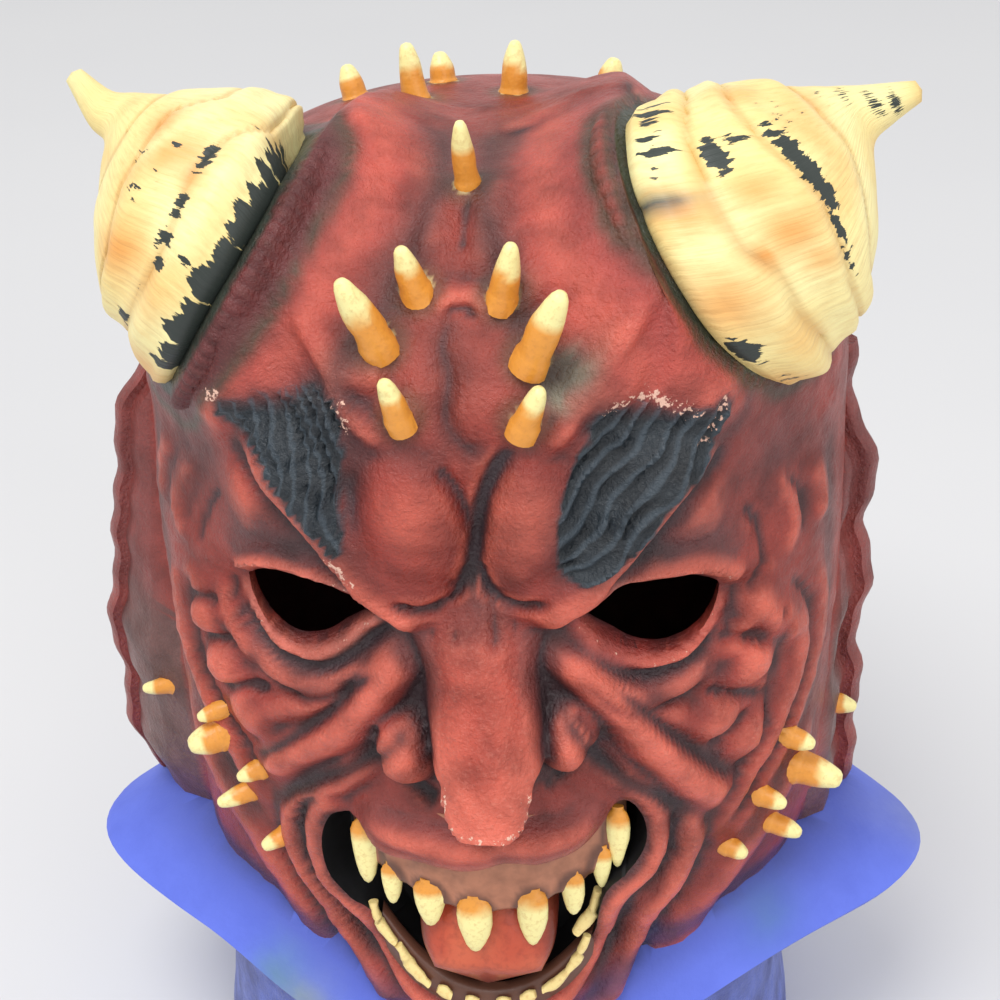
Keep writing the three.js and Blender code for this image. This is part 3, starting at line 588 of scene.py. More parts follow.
crease([(69, 24), (75, 14), (76, 4), (70, -4)], 1.4, 1.6)
crease([(80, 26), (86, 16), (87, 6)], 1.4, 1.4)
crease([(-69, 26), (-75, 16), (-78, 4)], 1.4, 1.3)
mound(58, 28, 13, 11, 2.4, tilt=20)
mound(-59, 29, 13, 12, 2.4, tilt=-20)
# Partly painted highlight on the rolls and knuckles, partly painted shade in the folds and down the sides
tints += [
    (CHEEK_RED, 0.5 * band(LEFT_SMILE, 5) + 0.4 * spot(-70, -30, 12, 14)),
    (CHEEK_RED, 0.5 * band(RIGHT_SMILE, 6) + 0.4 * spot(70, -36, 12, 14)),
    (CHEEK_WASH, 0.8 * band(LEFT_SMILE_LOWER, 3.5)),
    (CHEEK_WASH, 0.8 * band(RIGHT_SMILE_LOWER, 3.5)),
    (CHEEK_WASH, 0.55 * band(LEFT_SMILE_UPPER, 2.4)),
    (CHEEK_WASH, 0.55 * band(RIGHT_SMILE_UPPER, 2.4)),
    (CHEEK_WASH, 0.6 * band([(-92, 40), (-94, 10), (-94, -20), (-90, -50), (-80, -72), (-68, -96)], 7)),
    (CHEEK_WASH, 0.6 * band([(92, 40), (95, 10), (96, -20), (92, -50), (84, -74), (70, -98)], 7)),
    (CHEEK_WASH, 0.5 * spot(-78, 34, 18, 16)),
    (CHEEK_WASH, 0.5 * spot(78, 34, 18, 16)),
]


# Mouth surrounds
# The lips are drawn back over the teeth: a thin upper lip, doubled folds beside the mouth, and a chin.
# They are cast with the rest of the skin. Their folds are washed dark, partly as painted shade, their
# inner edges are darkened as painted shade where they turn into the mouth, and the lip's edge is pale,
# partly as painted highlight.

LIP_RED = linear("#8c4440")
MOUTH_DARK = linear("#231a1f")
UPPER_LIP = [(-41, -60), (-35, -63), (-28, -67), (-18, -67.5), (-3, -68), (6, -66), (16, -66.5), (26, -65),
             (32, -60), (38, -55)]
LIP_EDGE = [(-37, -67), (-28.7, -73), (-17.7, -72.6), (-3.2, -73), (6.2, -70.8), (16.6, -71.6), (25.8, -70),
            (32, -65)]
LIP_RING = [(-39, -61), (-47, -67), (-50.5, -77), (-50, -88), (-46, -98), (-39, -105), (-35, -113),
            (-31, -122), (-24, -131), (-12, -136), (0, -137), (12, -136), (23, -130), (29, -121), (33, -108),
            (35, -97), (38.5, -90), (45, -85), (48.5, -77), (48, -67), (44, -58), (37, -55)]
LEFT_MOUTH_LINE = [(-38, -64), (-48, -74), (-48, -88), (-40, -101), (-34, -112), (-27, -124)]
RIGHT_MOUTH_LINE = [(38, -58), (45.5, -70), (43, -82), (34, -90), (31, -106), (24, -121)]
LEFT_FOLD = [(-28, -44), (-41, -56), (-53, -67), (-58, -80), (-57, -92), (-51, -105), (-46, -118),
             (-38, -131), (-31, -144)]
RIGHT_FOLD = [(32, -46), (45, -58), (55, -69), (58, -82), (53, -96), (46, -107), (42, -120), (37, -134),
              (33, -146)]
LEFT_FOLD_GAP = [(-43, -58), (-51, -67), (-54.5, -78), (-53.5, -92), (-47, -104), (-42, -116), (-34, -130)]
RIGHT_FOLD_GAP = [(41, -53), (50, -62), (53.5, -74), (51, -87), (42, -98), (39, -110), (33, -126)]

roll(UPPER_LIP, 5.5, 4)
welt(LIP_EDGE, 1.5, 1.2)
crease([(-1, -56), (1, -61), (2, -66)], 2.5, 1.6)
roll(LIP_RING, 4.6, 4.4, ends=(0.03, 0.03))
roll(LEFT_FOLD, 5.8, 5, ends=(0.1, 0.05))
roll(RIGHT_FOLD, 5.8, 5, ends=(0.1, 0.05))
crease(LEFT_FOLD_GAP, 1.7, 2.6)
crease(RIGHT_FOLD_GAP, 1.7, 2.6)
crease([(-62, -78), (-63, -92), (-57, -110), (-50, -125), (-41, -144)], 2, 2)
crease([(63, -78), (62, -92), (54, -110), (48, -124), (42, -144)], 2, 2)
roll([(94, -46), (92, -62), (84, -80), (71, -100), (58, -121), (46, -146)], 9, 3.4)
roll([(-94, -46), (-91, -62), (-82, -80), (-69, -100), (-57, -121), (-46, -146)], 9, 3.4)
mound(0, -146, 24, 11, 8)
crease([(-22, -141), (-8, -142), (8, -142), (22, -141)], 2.5, 2)
# Painted shade in the fold gaps and along the mouth's edges, partly painted highlight on the lip's edge
tints += [
    (LIP_RED, 0.7 * band([(-36, -62), (-20, -64), (0, -65), (20, -64), (36, -58)], 7)),
    (CHEEK_WASH, 0.75 * band(LEFT_FOLD_GAP, 2.6)),
    (CHEEK_WASH, 0.75 * band(RIGHT_FOLD_GAP, 2.6)),
    (MOUTH_DARK, 0.7 * band(LEFT_MOUTH_LINE, 2)),
    (MOUTH_DARK, 0.7 * band(RIGHT_MOUTH_LINE, 2)),
    (RIM_PINK, 0.35 * band(LIP_EDGE, 1.2)),
]


# Nose
# A long wedge with a flat rough front and a squared tip that overhangs the lip, and a blocky wing
# beside each nostril. The tip's corners are scuffed pale. The flanks are darkened as painted shade,
# and the nostrils are painted near black as painted shade.

NOSE_ROOT_UP = 4
NOSE_TIP_UP = -48
NOSE_ROOT_FORWARD = 94
NOSE_TIP_FORWARD = 115
NOSE_ROOT_HALF = 11
NOSE_TIP_HALF = 11.3
NOSE_LEAN = 3.5
NOSE_FLANK = 10
NOSE_CORNER_RISE = 5
NOSE_ROUNDING = 4
NOSE_BLEND = 10
NOSE_RED = linear("#be4a38")
NOSE_WASH = linear("#4a2c2c")
NOSE_SIDE_RED = linear("#6b3a38")

mound(-19.5, -39, 10, 13.5, 13, tilt=6, power=0.8)
mound(23.5, -35, 9, 13, 12, tilt=-8, power=0.8)
crease([(-25, -44), (-21, -51), (-16, -55), (-11, -57.5)], 2, 3)
crease([(28, -38), (26, -46), (20, -51)], 2, 2.6)
crease([(-26, -30), (-27, -39), (-24.5, -47)], 1.8, 2.4)
crease([(24, -24), (28.5, -32), (28, -41)], 1.8, 2.4)


def blurred(values, times):
    field = values.reshape(grid_shape)
    for _ in range(times):
        field = (np.roll(field, 1, 1) + 2 * field + np.roll(field, -1, 1)) / 4
        padded = np.pad(field, ((1, 1), (0, 0)), mode="edge")
        field = (padded[:-2] + 2 * field + padded[2:]) / 4
    return field.ravel()


relief = blurred(piled ** (1 / BLEND_POWER), 1) - cut
down = np.clip((NOSE_ROOT_UP - up) / (NOSE_ROOT_UP - NOSE_TIP_UP), 0, 1)
nose_front = mix(NOSE_ROOT_FORWARD, NOSE_TIP_FORWARD, down ** 1.1)
nose_half = mix(NOSE_ROOT_HALF, NOSE_TIP_HALF, down) - 1.8 * np.exp(-((down - 0.35) / 0.2) ** 2)
nose_x = plain_x * nose_front / np.maximum(-plain_y, 40)
nose_middle = NOSE_LEAN * np.clip(down * 1.4, 0, 1)
beside_nose = np.abs(nose_x - nose_middle) - nose_half
corner = np.clip(np.abs(nose_x - nose_middle) / nose_half, 0, 1.15)
tip_up = NOSE_TIP_UP + NOSE_CORNER_RISE * corner ** 6
under_tip = smooth((tip_up - up) / 4)
nose_top = NOSE_ROOT_UP + NOSE_BLEND
in_front = np.cos(turn) > 0.5
flank = smooth(1 - beside_nose / NOSE_FLANK) * (1 - under_tip) * smooth((nose_top - up) / 18)
crown = NOSE_ROUNDING * (1 - np.clip(np.abs(nose_x - nose_middle) / nose_half, 0, 1) ** 2.6)
forward = -plain_y + np.cos(turn) * broad
nose_reach = nose_front - NOSE_ROUNDING + crown - forward
nose_push = np.clip(nose_reach / np.maximum(np.cos(turn), 0.5), 0, 60) * flank
nose_push = np.where((up < nose_top) & (up > NOSE_TIP_UP - 5) & in_front, nose_push, 0)
over_skin = (np.maximum(relief, 0) ** 3 + nose_push ** 3) ** (1 / 3) + np.minimum(relief, 0)
relief = np.where(nose_push > 0.01, over_skin, relief)
on_nose = smooth((nose_push - np.maximum(relief, 0) * 0.3) / 6) * smooth(1 - beside_nose / 4)
nose_edge = on_nose * np.exp(-((beside_nose + 0.5) / 1.6) ** 2) * smooth((-30 - up) / 10)
tip_edge = on_nose * np.exp(-((up - tip_up - 1) / 1.8) ** 2)
scratched = np.maximum(scratched, 0.3 * np.maximum(nose_edge, tip_edge))
nose_side = smooth((beside_nose + 0.5) / 3) * smooth((16 - beside_nose) / 6)
nose_side = nose_side * (up < 0) * (up > -52) * in_front
tints += [
    (NOSE_RED, 0.7 * on_nose),
    (NOSE_WASH, 0.45 * on_nose * smooth((up + 14) / 20)),
    (RIM_PINK, 0.35 * np.maximum(nose_edge, tip_edge)),
    # Painted shade: darker flanks, and near black in the nostrils
    (NOSE_SIDE_RED, 0.6 * nose_side),
    (MOUTH_DARK, 0.95 * band([(-23, -49), (-18, -54), (-12, -57)], 3.2)),
    (MOUTH_DARK, 0.85 * band([(25, -46), (21, -50.5), (17, -53)], 2.6)),
]


# Surface of the cast
# The clay original was left pebbly, with fine crossing creases that the latex has taken on. The skin
# is satin red. Its hollows are darkened, partly by an airbrushed wash and partly as painted shade, and
# its high places are lightened, partly by dry brushing with pale pink and partly as painted highlight.

DEEPEST_CREASE = -1.7
SKIN_RED = linear("#a63a2d")
DEEP_RED = linear("#712720")
BRIGHT_RED = linear("#df6b55")
SHADOW_WASH = linear("#32252b")

skin_points = np.column_stack([plain_x, plain_y, up])
pebbles = grain(skin_points, 5, 21) * 0.3 + grain(skin_points, 2.6, 22) * 0.2
crazing = -np.abs(grain(skin_points, 8, 23)) * 0.5 - np.abs(grain(skin_points, 4, 24)) * 0.25
nose_grit = grain(skin_points * [1, 1, 0.5], 3, 25)
rough_nose = on_nose * (nose_grit * 0.45 - np.abs(grain(skin_points, 5, 26)) * 0.5)
fine += (pebbles + crazing + 0.3) * (0.4 + 0.6 * ahead) * (1 - hair) + rough_nose
total = relief * ahead + fine * np.maximum(ahead, 0.4)
total = np.where(total < 0, DEEPEST_CREASE * np.tanh(total / DEEPEST_CREASE), total)
push = broad * ahead + total
skin_x = plain_x + np.sin(turn) * push * steep
skin_y = plain_y - np.cos(turn) * push * steep
skin_up = up + push * (1 - steep)
skin = np.column_stack([skin_x, skin_y, skin_up])

# Round each horn the skin rises softly to the horn's foot
HORN_FEET = {
    -1: {"place": (63, -36, 76.7), "radius": 37.3, "axis": (0.84, 0.03, 0.54)},
    1: {"place": (59, -36, 81.2), "radius": 38.3, "axis": (0.82, -0.13, 0.55)},
}
RISE_BELOW = {-1: 4, 1: 3}
RISE_BEND = 0.021
RISE_REACH = 28


def beyond_foot(points, side):
    """How far points are from a horn foot's edge, across it and above it."""
    foot = HORN_FEET[side]
    axis = np.array(foot["axis"]) * [side, 1, 1]
    axis = axis / np.linalg.norm(axis)
    from_foot = points - np.array(foot["place"]) * [side, 1, 1]
    above = from_foot @ axis
    return np.linalg.norm(from_foot - above[:, None] * axis, axis=1) - foot["radius"], above, axis


for side in (-1, 1):
    outside, above, axis = beyond_foot(skin, side)
    wanted = -RISE_BELOW[side] - RISE_BEND * np.maximum(outside, 0) ** 2 + fine * 0.5
    gap = wanted - above
    near = smooth((RISE_REACH - outside) / 9) * smooth((above + 34) / 12) * smooth((up - 58) / 18)
    lift = np.clip((gap + np.sqrt(gap * gap + 4)) / 2 - 0.3, 0, 30) * near
    skin = skin + lift[:, None] * axis

shape = (broad + relief) * ahead + fine * 0.4
small_hollow = blurred(shape, 5) - shape
large_hollow = blurred(shape, 60) - shape
blotches = grain(skin_points, 18, 61)
paint = np.tile(SKIN_RED, (len(turn), 1))


def lay_over(colour, share):
    global paint
    share = np.clip(share, 0, 1)[:, None]
    paint = paint * (1 - share) + colour * share


lay_over(DEEP_RED, 0.35 + 0.35 * blotches)
for colour, share in tints:
    lay_over(colour, share)
# Painted highlight: lighter red over the larger and the smaller bulges
lay_over(BRIGHT_RED, smooth((-large_hollow - 0.5) / 2.6) * 0.75 * ahead * (1 - hair))
lay_over(BRIGHT_RED, smooth((-small_hollow - 0.1) / 0.6) * 0.45 * ahead * (1 - hair))
# Painted shade, over the airbrushed wash: the larger and the smaller hollows are darkened
lay_over(SHADOW_WASH, smooth((large_hollow - 0.8) / 3.2) * 0.7 * ahead * (1 - on_nose))
lay_over(SHADOW_WASH, smooth((small_hollow - 0.1) / 0.7) * 0.8 * ahead)
lay_over(BROW_BLACK, np.clip(0.8 * soft_brow + 0.9 * hair, 0, 1))


def add(tree, kind, values=None, links=None, **settings):
    """Adds a shader node with its settings, its inputs' values and the sockets that feed its inputs."""
    node = tree.nodes.new("ShaderNode" + kind)
    for name, value in settings.items():
        setattr(node, name, value)
    for key, value in (values or {}).items():
        node.inputs[key].default_value = value
    for key, socket in (links or {}).items():
        tree.links.new(socket, node.inputs[key])
    return node.outputs


def rgba(colour):
    return (float(colour[0]), float(colour[1]), float(colour[2]), 1.0)


def paint_material(name, **shader_values):
    material = bpy.data.materials.new(name)
    material.use_nodes = True
    shader = material.node_tree.nodes["Principled BSDF"]
    for key, value in shader_values.items():
        shader.inputs[key.replace("_", " ")].default_value = value
    return material, material.node_tree, shader


# Latex paint dries satin, and it is mottled every 10 mm or so by the airbrush. Grit of about 1 mm
# catches the dry brush, and its pale pink specks on the high places are partly painted highlight.
MOTTLE_MM = 10
GRIT_MM = 1.2
PEBBLE_MM = 1.6
MOTTLE_DARK = (0.4, 0.32, 0.3, 1)
STRAND_HIGHLIGHT_GREY = linear("#46525c")
BRUSHED_HIGHLIGHT_PINK = linear("#e0907c")
# What each corner of the joined mask carries beside its colour. On the skin the first value is the
# share of pale specks, from dry brushing and painted highlight.
CORNER_VALUES = ("wear_and_highlight", "lengthwise", "round_it", "extra")

skin_latex, tree, shader = paint_material("satin_red_latex_paint", IOR=1.5)
place = add(tree, "TexCoord")["Object"]
laid = add(tree, "Attribute", attribute_name="paint")["Color"]
dry_brush_highlight_share, strand_line, hair_share, chip_share = [
    add(tree, "Attribute", attribute_name=name)["Fac"] for name in CORNER_VALUES]
mottle = add(tree, "TexNoise", {"Scale": 1000 / MOTTLE_MM, "Detail": 5.0}, {"Vector": place})["Fac"]
grit = add(tree, "TexNoise", {"Scale": 1000 / GRIT_MM, "Detail": 3.0, "Roughness": 0.7},
           {"Vector": place})["Fac"]
pebble = add(tree, "TexNoise", {"Scale": 1000 / PEBBLE_MM, "Detail": 4.0, "Roughness": 0.65},
             {"Vector": place})["Fac"]
dark_share = add(tree, "MapRange", {"From Min": 0.38, "From Max": 0.7, "To Max": 0.7},
                 {"Value": mottle})["Result"]
darkened = add(tree, "Mix", {7: MOTTLE_DARK}, {0: dark_share, 6: laid},
               data_type="RGBA", blend_type="MULTIPLY")[2]
# Painted highlight: a grey line along the crest of each brow strand
hair_wave = add(tree, "Math", {1: 2 * math.pi}, {0: strand_line}, operation="MULTIPLY")[0]
hair_light = add(tree, "Math", None, {0: hair_wave}, operation="SINE")[0]
hair_light = add(tree, "MapRange", {"From Min": 0.2, "From Max": 1.0, "To Max": 0.55},
                 {"Value": hair_light})["Result"]
hair_light = add(tree, "Math", None, {0: hair_light, 1: hair_share}, operation="MULTIPLY")[0]
strand_highlighted = add(tree, "Mix", {7: rgba(STRAND_HIGHLIGHT_GREY)}, {0: hair_light, 6: darkened}, data_type="RGBA")[2]
# Pale pink specks where the grit is high, partly dry brushing and partly painted highlight
speckle = add(tree, "MapRange", {"From Min": 0.52, "From Max": 0.75, "To Max": 0.45},
              {"Value": grit})["Result"]
speckle = add(tree, "Math", None, {0: speckle, 1: dry_brush_highlight_share}, operation="MULTIPLY")[0]
brushed = add(tree, "Mix", {7: rgba(BRUSHED_HIGHLIGHT_PINK)}, {0: speckle, 6: strand_highlighted}, data_type="RGBA")[2]
chip_level = add(tree, "Math", None, {0: pebble, 1: chip_share}, operation="ADD")[0]
chip_mask = add(tree, "MapRange", {"From Min": 0.83, "From Max": 0.86}, {"Value": chip_level})["Result"]
finished = add(tree, "Mix", {7: rgba(CHIP_PINK)}, {0: chip_mask, 6: brushed}, data_type="RGBA")[2]
gloss = add(tree, "MapRange", {"From Min": 0.3, "From Max": 0.7, "To Min": 0.3, "To Max": 0.46},
            {"Value": mottle})["Result"]
coarse = add(tree, "Bump", {"Strength": 0.75, "Distance": 0.0014}, {"Height": pebble})[0]
normal = add(tree, "Bump", {"Strength": 0.4, "Distance": 0.0006}, {"Height": grit, "Normal": coarse})[0]
tree.links.new(finished, shader.inputs["Base Color"])
tree.links.new(gloss, shader.inputs["Roughness"])
tree.links.new(normal, shader.inputs["Normal"])


# Meshes
# Every part of the casting starts as a closed mesh. The parts are then joined and cut as one, because
# the real mask is one casting.

SLOT_COUNT = 8
SKIN, HORN, TOOTH, GUM, TONGUE, COLLAR, INSIDE, POCKET = range(SLOT_COUNT)
sources = {slot: [] for slot in range(SLOT_COUNT)}
finishes = {SKIN: skin_latex}


def mesh_of(name, points, faces, slot):
    mesh = bpy.data.meshes.new(name)
    mesh.from_pydata(to_frame(points).tolist(), [], faces)
    for _ in range(SLOT_COUNT):
        mesh.materials.append(None)
    mesh.polygons.foreach_set("material_index", np.full(len(mesh.polygons), slot, np.int32))
    made = bpy.data.objects.new(name, mesh)
    bpy.context.scene.collection.objects.link(made)
    return made


def outward(points, faces):
    volume = 0
    for face in faces:
        for k in range(1, len(face) - 1):
            volume += np.dot(points[face[0]], np.cross(points[face[k]], points[face[k + 1]]))
    if volume < 0:
        faces = [face[::-1] for face in faces]
    return points, faces


def loft(rings, start=None, end=None):
    """Points and faces of a closed form through rings of points, with an end point at each end."""
    rings = np.asarray(rings, float)
    rows, count, _ = rings.shape
    start = rings[0].mean(axis=0) if start is None else start
    end = rings[-1].mean(axis=0) if end is None else end
    points = np.vstack([rings.reshape(-1, 3), start, end])
    i, j = np.meshgrid(np.arange(rows - 1), np.arange(count), indexing="ij")
    a = (i * count + j).ravel()
    b = (i * count + (j + 1) % count).ravel()
    faces = np.column_stack([a, b, b + count, a + count]).tolist()
    first, last, top = rows * count, rows * count + 1, (rows - 1) * count
    for k in range(count):
        nxt = (k + 1) % count
        faces.append([first, nxt, k])
        faces.append([last, top + k, top + nxt])
    return outward(points, faces)


def joined(parts):
    points, faces, start = [], [], 0
    for part_points, part_faces in parts:
        points.append(part_points)
        faces.extend([[index + start for index in face] for face in part_faces])
        start += len(part_points)
    return np.vstack(points), faces


def ring_around(centre, axis, wide, tall, count):
    axis = np.asarray(axis, float) / np.linalg.norm(axis)
    reference = np.array([0, 1, 0]) if abs(axis[2]) > 0.9 else np.array([0, 0, 1])
    side = np.cross(reference, axis)
    side /= np.linalg.norm(side)
    above = np.cross(axis, side)
    angle = 2 * math.pi * np.arange(count) / count
    return np.asarray(centre) + np.outer(wide * np.cos(angle), side) + np.outer(tall * np.sin(angle), above)


def note(slot, points, colours, wear_and_highlight=0.0, lengthwise=0.0, round_it=0.0, extra=0.0):
    """Remembers a part's colour, worn paint, dry brushing, painted highlight and other values, for painting the
    joined mask.
    """
    count = len(points)
    corner_values = (wear_and_highlight, lengthwise, round_it, extra)
    columns = [np.broadcast_to(np.asarray(value, float), (count,)) for value in corner_values]
    colours = np.broadcast_to(np.asarray(colours, float), (count, 3))
    sources[slot].append((to_frame(points), np.column_stack([colours] + columns)))


# Horns
# Fat hollow bulbs of the same casting, built of three overlapping whorls with a thin solid tip. They
# are painted cream and orange over a blackish green, which shows along the ragged foot and in chips.

HORN_AXIS = np.array([0.84, 0.27, 0.47])
# Place, radius, and how far the ring still follows the foot's own axis
HORN_STATIONS = [
    (66, -34, 83, 38.5, 0.65), (71, -31, 86, 35, 0.3), (76, -29, 88, 33, 0), (81, -26, 91, 28, 0),
    (86, -22, 95, 21.5, 0), (90, -18, 101, 13, 0), (93, -15, 105, 7.5, 0), (99, -13, 107, 5, 0),
]
HORN_TIPS = {-1: (106, -10, 115), 1: (108, -12, 110)}
HORN_TIP_RADIUS = 2.4
HORN_WALL = 4
HORN_ROWS = 74
HORN_COUNT = 96
HORN_LIP = [(-3.2, -7), (-2.6, -2.4), (-1.4, -0.2), (0.2, 0.7), (1.6, 0.6)]
SEAT_STEPS = [(-14, 0), (-10, 2.4), (-7.5, 3.6), (-6, 3.8), (-4.8, 3), (-3.8, 1.4), (-3, -0.4), (-2, -3)]
SEAT_RIBS = 60
# Where each whorl ends: pairs of the angle round the horn and the distance from its foot
WHORL_ENDS = {
    -1: [[(98, 7), (116, 11.5), (134, 13.6), (160, 11), (172, 10), (206, 12.3)],
         [(92, 20), (108, 28), (138, 27.2), (158, 26.3), (185, 20.6)], [(90, 38), (200, 36)]],
    1: [[(86, 11.3), (118, 9.3), (140, 8.6), (162, 9), (176, 10.9), (218, 11)],
        [(80, 20), (108, 17.8), (130, 18.6), (158, 22.2), (174, 21), (200, 19.4)],
        [(90, 34), (116, 36), (138, 37), (156, 37.5), (176, 35), (210, 27)]],
}
WHORL_STEP = {-1: 1.6, 1: 2.6}
# Both feet are trimmed at the top: the angle of the trim, its half width in degrees and its depth
FOOT_TRIM = {-1: (86, 27, 9), 1: (76, 22, 3)}
TRIM_LENGTH = 13
HOLLOW_COUNT = 24
# The ring of skin that the foot stands in has fine ribs, which show more on the left
SEAT_RIB_HEIGHT = 0.45
SEAT_RIB_SHARES = (0, 0.4, 1, 1, 1, 0.5, 0, 0)
SEAT_RIBBED = {-1: 1.0, 1: 0.3}
SEAT_RADIUS = 38
# Angle, distance from the foot, half width round the horn, half length, and strength
HORN_GROOVES = {-1: [], 1: [(143, 1.5, 2.2, 4.5, 1.0)]}
RIGHT_FOOT_FLAKES = [(102, 4, 14, 6, 1.0), (118, 4, 8, 4, 0.7)]
HORN_CHIPS = {
    -1: [(127, 12.5, 6, 1.8, 0.5), (106, 7.5, 2, 3, 0.4), (128, 18.5, 2, 1.6, 0.35),
         (150, 12, 5, 1.6, 0.42), (164, 11.5, 4, 2.4, 0.42), (172, 10, 3.5, 2, 0.45),
         (208, 12.8, 3.5, 2, 0.55), (190, 11.5, 6, 1.2, 0.3), (142, 19, 3, 3, 0.3),
         (152, 21.4, 4, 3.5, 0.34), (140, 26, 4, 3, 0.3), (165, 6, 2.4, 2.4, 0.4)],
    1: [(123, 4, 1.7, 4, 0.6), (133, 3.2, 1.3, 1.8, 0.5), (129, 11.6, 7, 1.8, 0.6), (124, 15, 2.5, 3, 0.36),
        (133, 14, 1.4, 2.4, 0.4), (122, 20.5, 5, 2, 0.42), (134, 22.2, 6, 2.8, 0.6), (146, 23.4, 6, 3.2, 0.6),
        (158, 24.2, 6, 2.4, 0.55), (172, 22.4, 7, 1.5, 0.5),
        (188, 20.8, 6, 1.2, 0.45), (204, 1.5, 6, 2.6, 0.62),
        (228, 3, 4, 3, 0.36), (112, 24, 7, 5, 0.24), (124, 30, 8, 5, 0.2), (104, 40, 6, 3, 0.22),
        (110, 46, 5, 3, 0.3), (150, 52, 6, 3, 0.34), (170, 57, 5, 2.4, 0.4)],
}
HORN_ORANGES = {
    -1: [(118, 27, 8, 5, 0.8), (130, 17, 7, 5, 0.8), (138, 13, 4, 3, 0.7), (174, 18, 8, 5, 0.7),
         (150, 25, 8, 5, 0.4), (186, 9, 8, 4, 0.4), (224, 4, 8, 6, 0.6)],
    1: [(147, 4.5, 6, 5, 0.85), (182, 3, 8, 4.5, 0.8), (146, 14, 4.5, 3.5, 0.75), (164, 15, 6, 4, 0.9),
        (178, 17, 4, 3, 0.7), (168, 11, 4, 1.6, 0.8), (96, 20, 6, 6, 0.6), (120, 31, 12, 5, 0.45),
        (110, 36, 8, 4, 0.5), (232, 2, 8, 5, 0.6), (205, 9, 9, 3, 0.4)],
}
HORN_CREAM = linear("#f1da92")
HORN_PALE = linear("#f4e8a8")
HORN_ORANGE = linear("#e39a4a")
HORN_GREEN = linear("#2c332f")
HORN_STAIN = linear("#c98f45")
WHORL_SHADE_BROWN = linear("#b5803f")
HORN_GROOVE_GREY = linear("#5f6058")
FOOT_BROWN = linear("#4a3a2e")
FOOT_RED = linear("#682b2b")
FOOT_OLIVE = linear("#48402f")
FOOT_GREEN = linear("#3d443a")
FOOT_MARGIN = {-1: 2.4, 1: 1.6}


def horn_rings(side, distances, wider, count=HORN_COUNT):
    foot = HORN_FEET[side]
    rows = [[*foot["place"], foot["radius"], *foot["axis"]]]
    for x, y, station_up, radius, share in HORN_STATIONS:
        rows.append([x, y, station_up, radius, *mix(HORN_AXIS, np.array(foot["axis"]), share)])
    tip_axis = np.array(HORN_TIPS[side]) - HORN_STATIONS[-1][:3]
    rows.append([*HORN_TIPS[side], HORN_TIP_RADIUS, *tip_axis / np.linalg.norm(tip_axis)])
    rows = np.array(rows, float)
    starts = np.concatenate([[0], np.cumsum(np.linalg.norm(np.diff(rows[:, :3], axis=0), axis=1))])
    path = curve(np.column_stack([rows, starts]), 8)
    rings = []
    radii = []
    for distance, extra in zip(distances, np.broadcast_to(wider, len(distances))):
        x, y, place_up, radius, *axis = [np.interp(distance, path[:, 7], path[:, k]) for k in range(7)]
        axis = np.array(axis) / np.linalg.norm(axis)
        centre = np.array([x, y, place_up]) + axis * min(distance, 0)
        rings.append(ring_around(centre, axis, radius + extra, radius + extra, count) * [side, 1, 1])
        radii.append(radius)
    return np.array(rings), np.array(radii), starts[-1]


def around_horn(ss, degrees, radius, marks):
    """How strongly a list of marks, each with a place, two half sizes and a strength, covers a horn."""
    share = np.zeros(ss.shape)
    for angle, distance, half, length, strength in marks:
        off = np.radians(degrees - angle) * radius
        share = np.maximum(share, strength * np.exp(-(off / half) ** 2 - ((ss - distance) / length) ** 2))
    return share


def paint_near_horns(points, colours):
    """Blackish green at a horn's foot, then dark red, an olive line, and a fading overspray."""
    for side in (-1, 1):
        outside, above, _ = beyond_foot(points, side)
        off = np.hypot(np.maximum(outside, 0), np.maximum(-9 - above, 0)) + 0.9 * grain(points, 5, 71)
        margin = FOOT_MARGIN[side]
        ribbed = margin + (4 if side < 0 else 1)
        in_front = smooth((points[:, 2] - 54) / 14) * smooth((-12 - points[:, 1]) / 14)
        layers = [
            (RIDGE_RED, 0.7 * smooth((24 - off) / 7) * in_front),
            (BRIGHT_RED, 0.4 * np.exp(-((off - 14) / 5) ** 2) * in_front),
            (GROOVE_WASH, 0.75 * np.exp(-((off - 28) / 5) ** 2) * in_front),
            (FOOT_BROWN, 0.5 * smooth((ribbed + 4 - off) / 4)),
            (FOOT_RED, smooth((ribbed - off) / 1.5)),
            (FOOT_OLIVE, 0.8 * np.exp(-((off - ribbed) / 1.3) ** 2)),
            (FOOT_GREEN, smooth((margin - off) / 1.4)),
        ]
        for colour, share in layers:
            colours = colours * (1 - share[:, None]) + colour * share[:, None]
    return colours


def foot_trim(side, ss, degrees):
    """How much is taken off the top of a horn's foot."""
    angle, half, depth = FOOT_TRIM[side]
    return depth * np.exp(-((degrees - angle) / half) ** 2 - (ss / TRIM_LENGTH) ** 2)


def horn_hollow(side, length):
    """The hollow inside a horn, a wall in from its plain form and its trim."""
    distances = np.linspace(0, length, 14)
    rings, radii, _ = horn_rings(side, distances, -HORN_WALL, HOLLOW_COUNT)
    ss, degrees = np.meshgrid(distances, 360 * np.arange(HOLLOW_COUNT) / HOLLOW_COUNT, indexing="ij")
    middle = rings.mean(axis=1, keepdims=True)
    away = (rings - middle) / np.maximum(radii - HORN_WALL, 0.1)[:, None, None]
    rings = rings - away * foot_trim(side, ss, degrees)[..., None]
    return loft(rings[radii > HORN_WALL * 4])


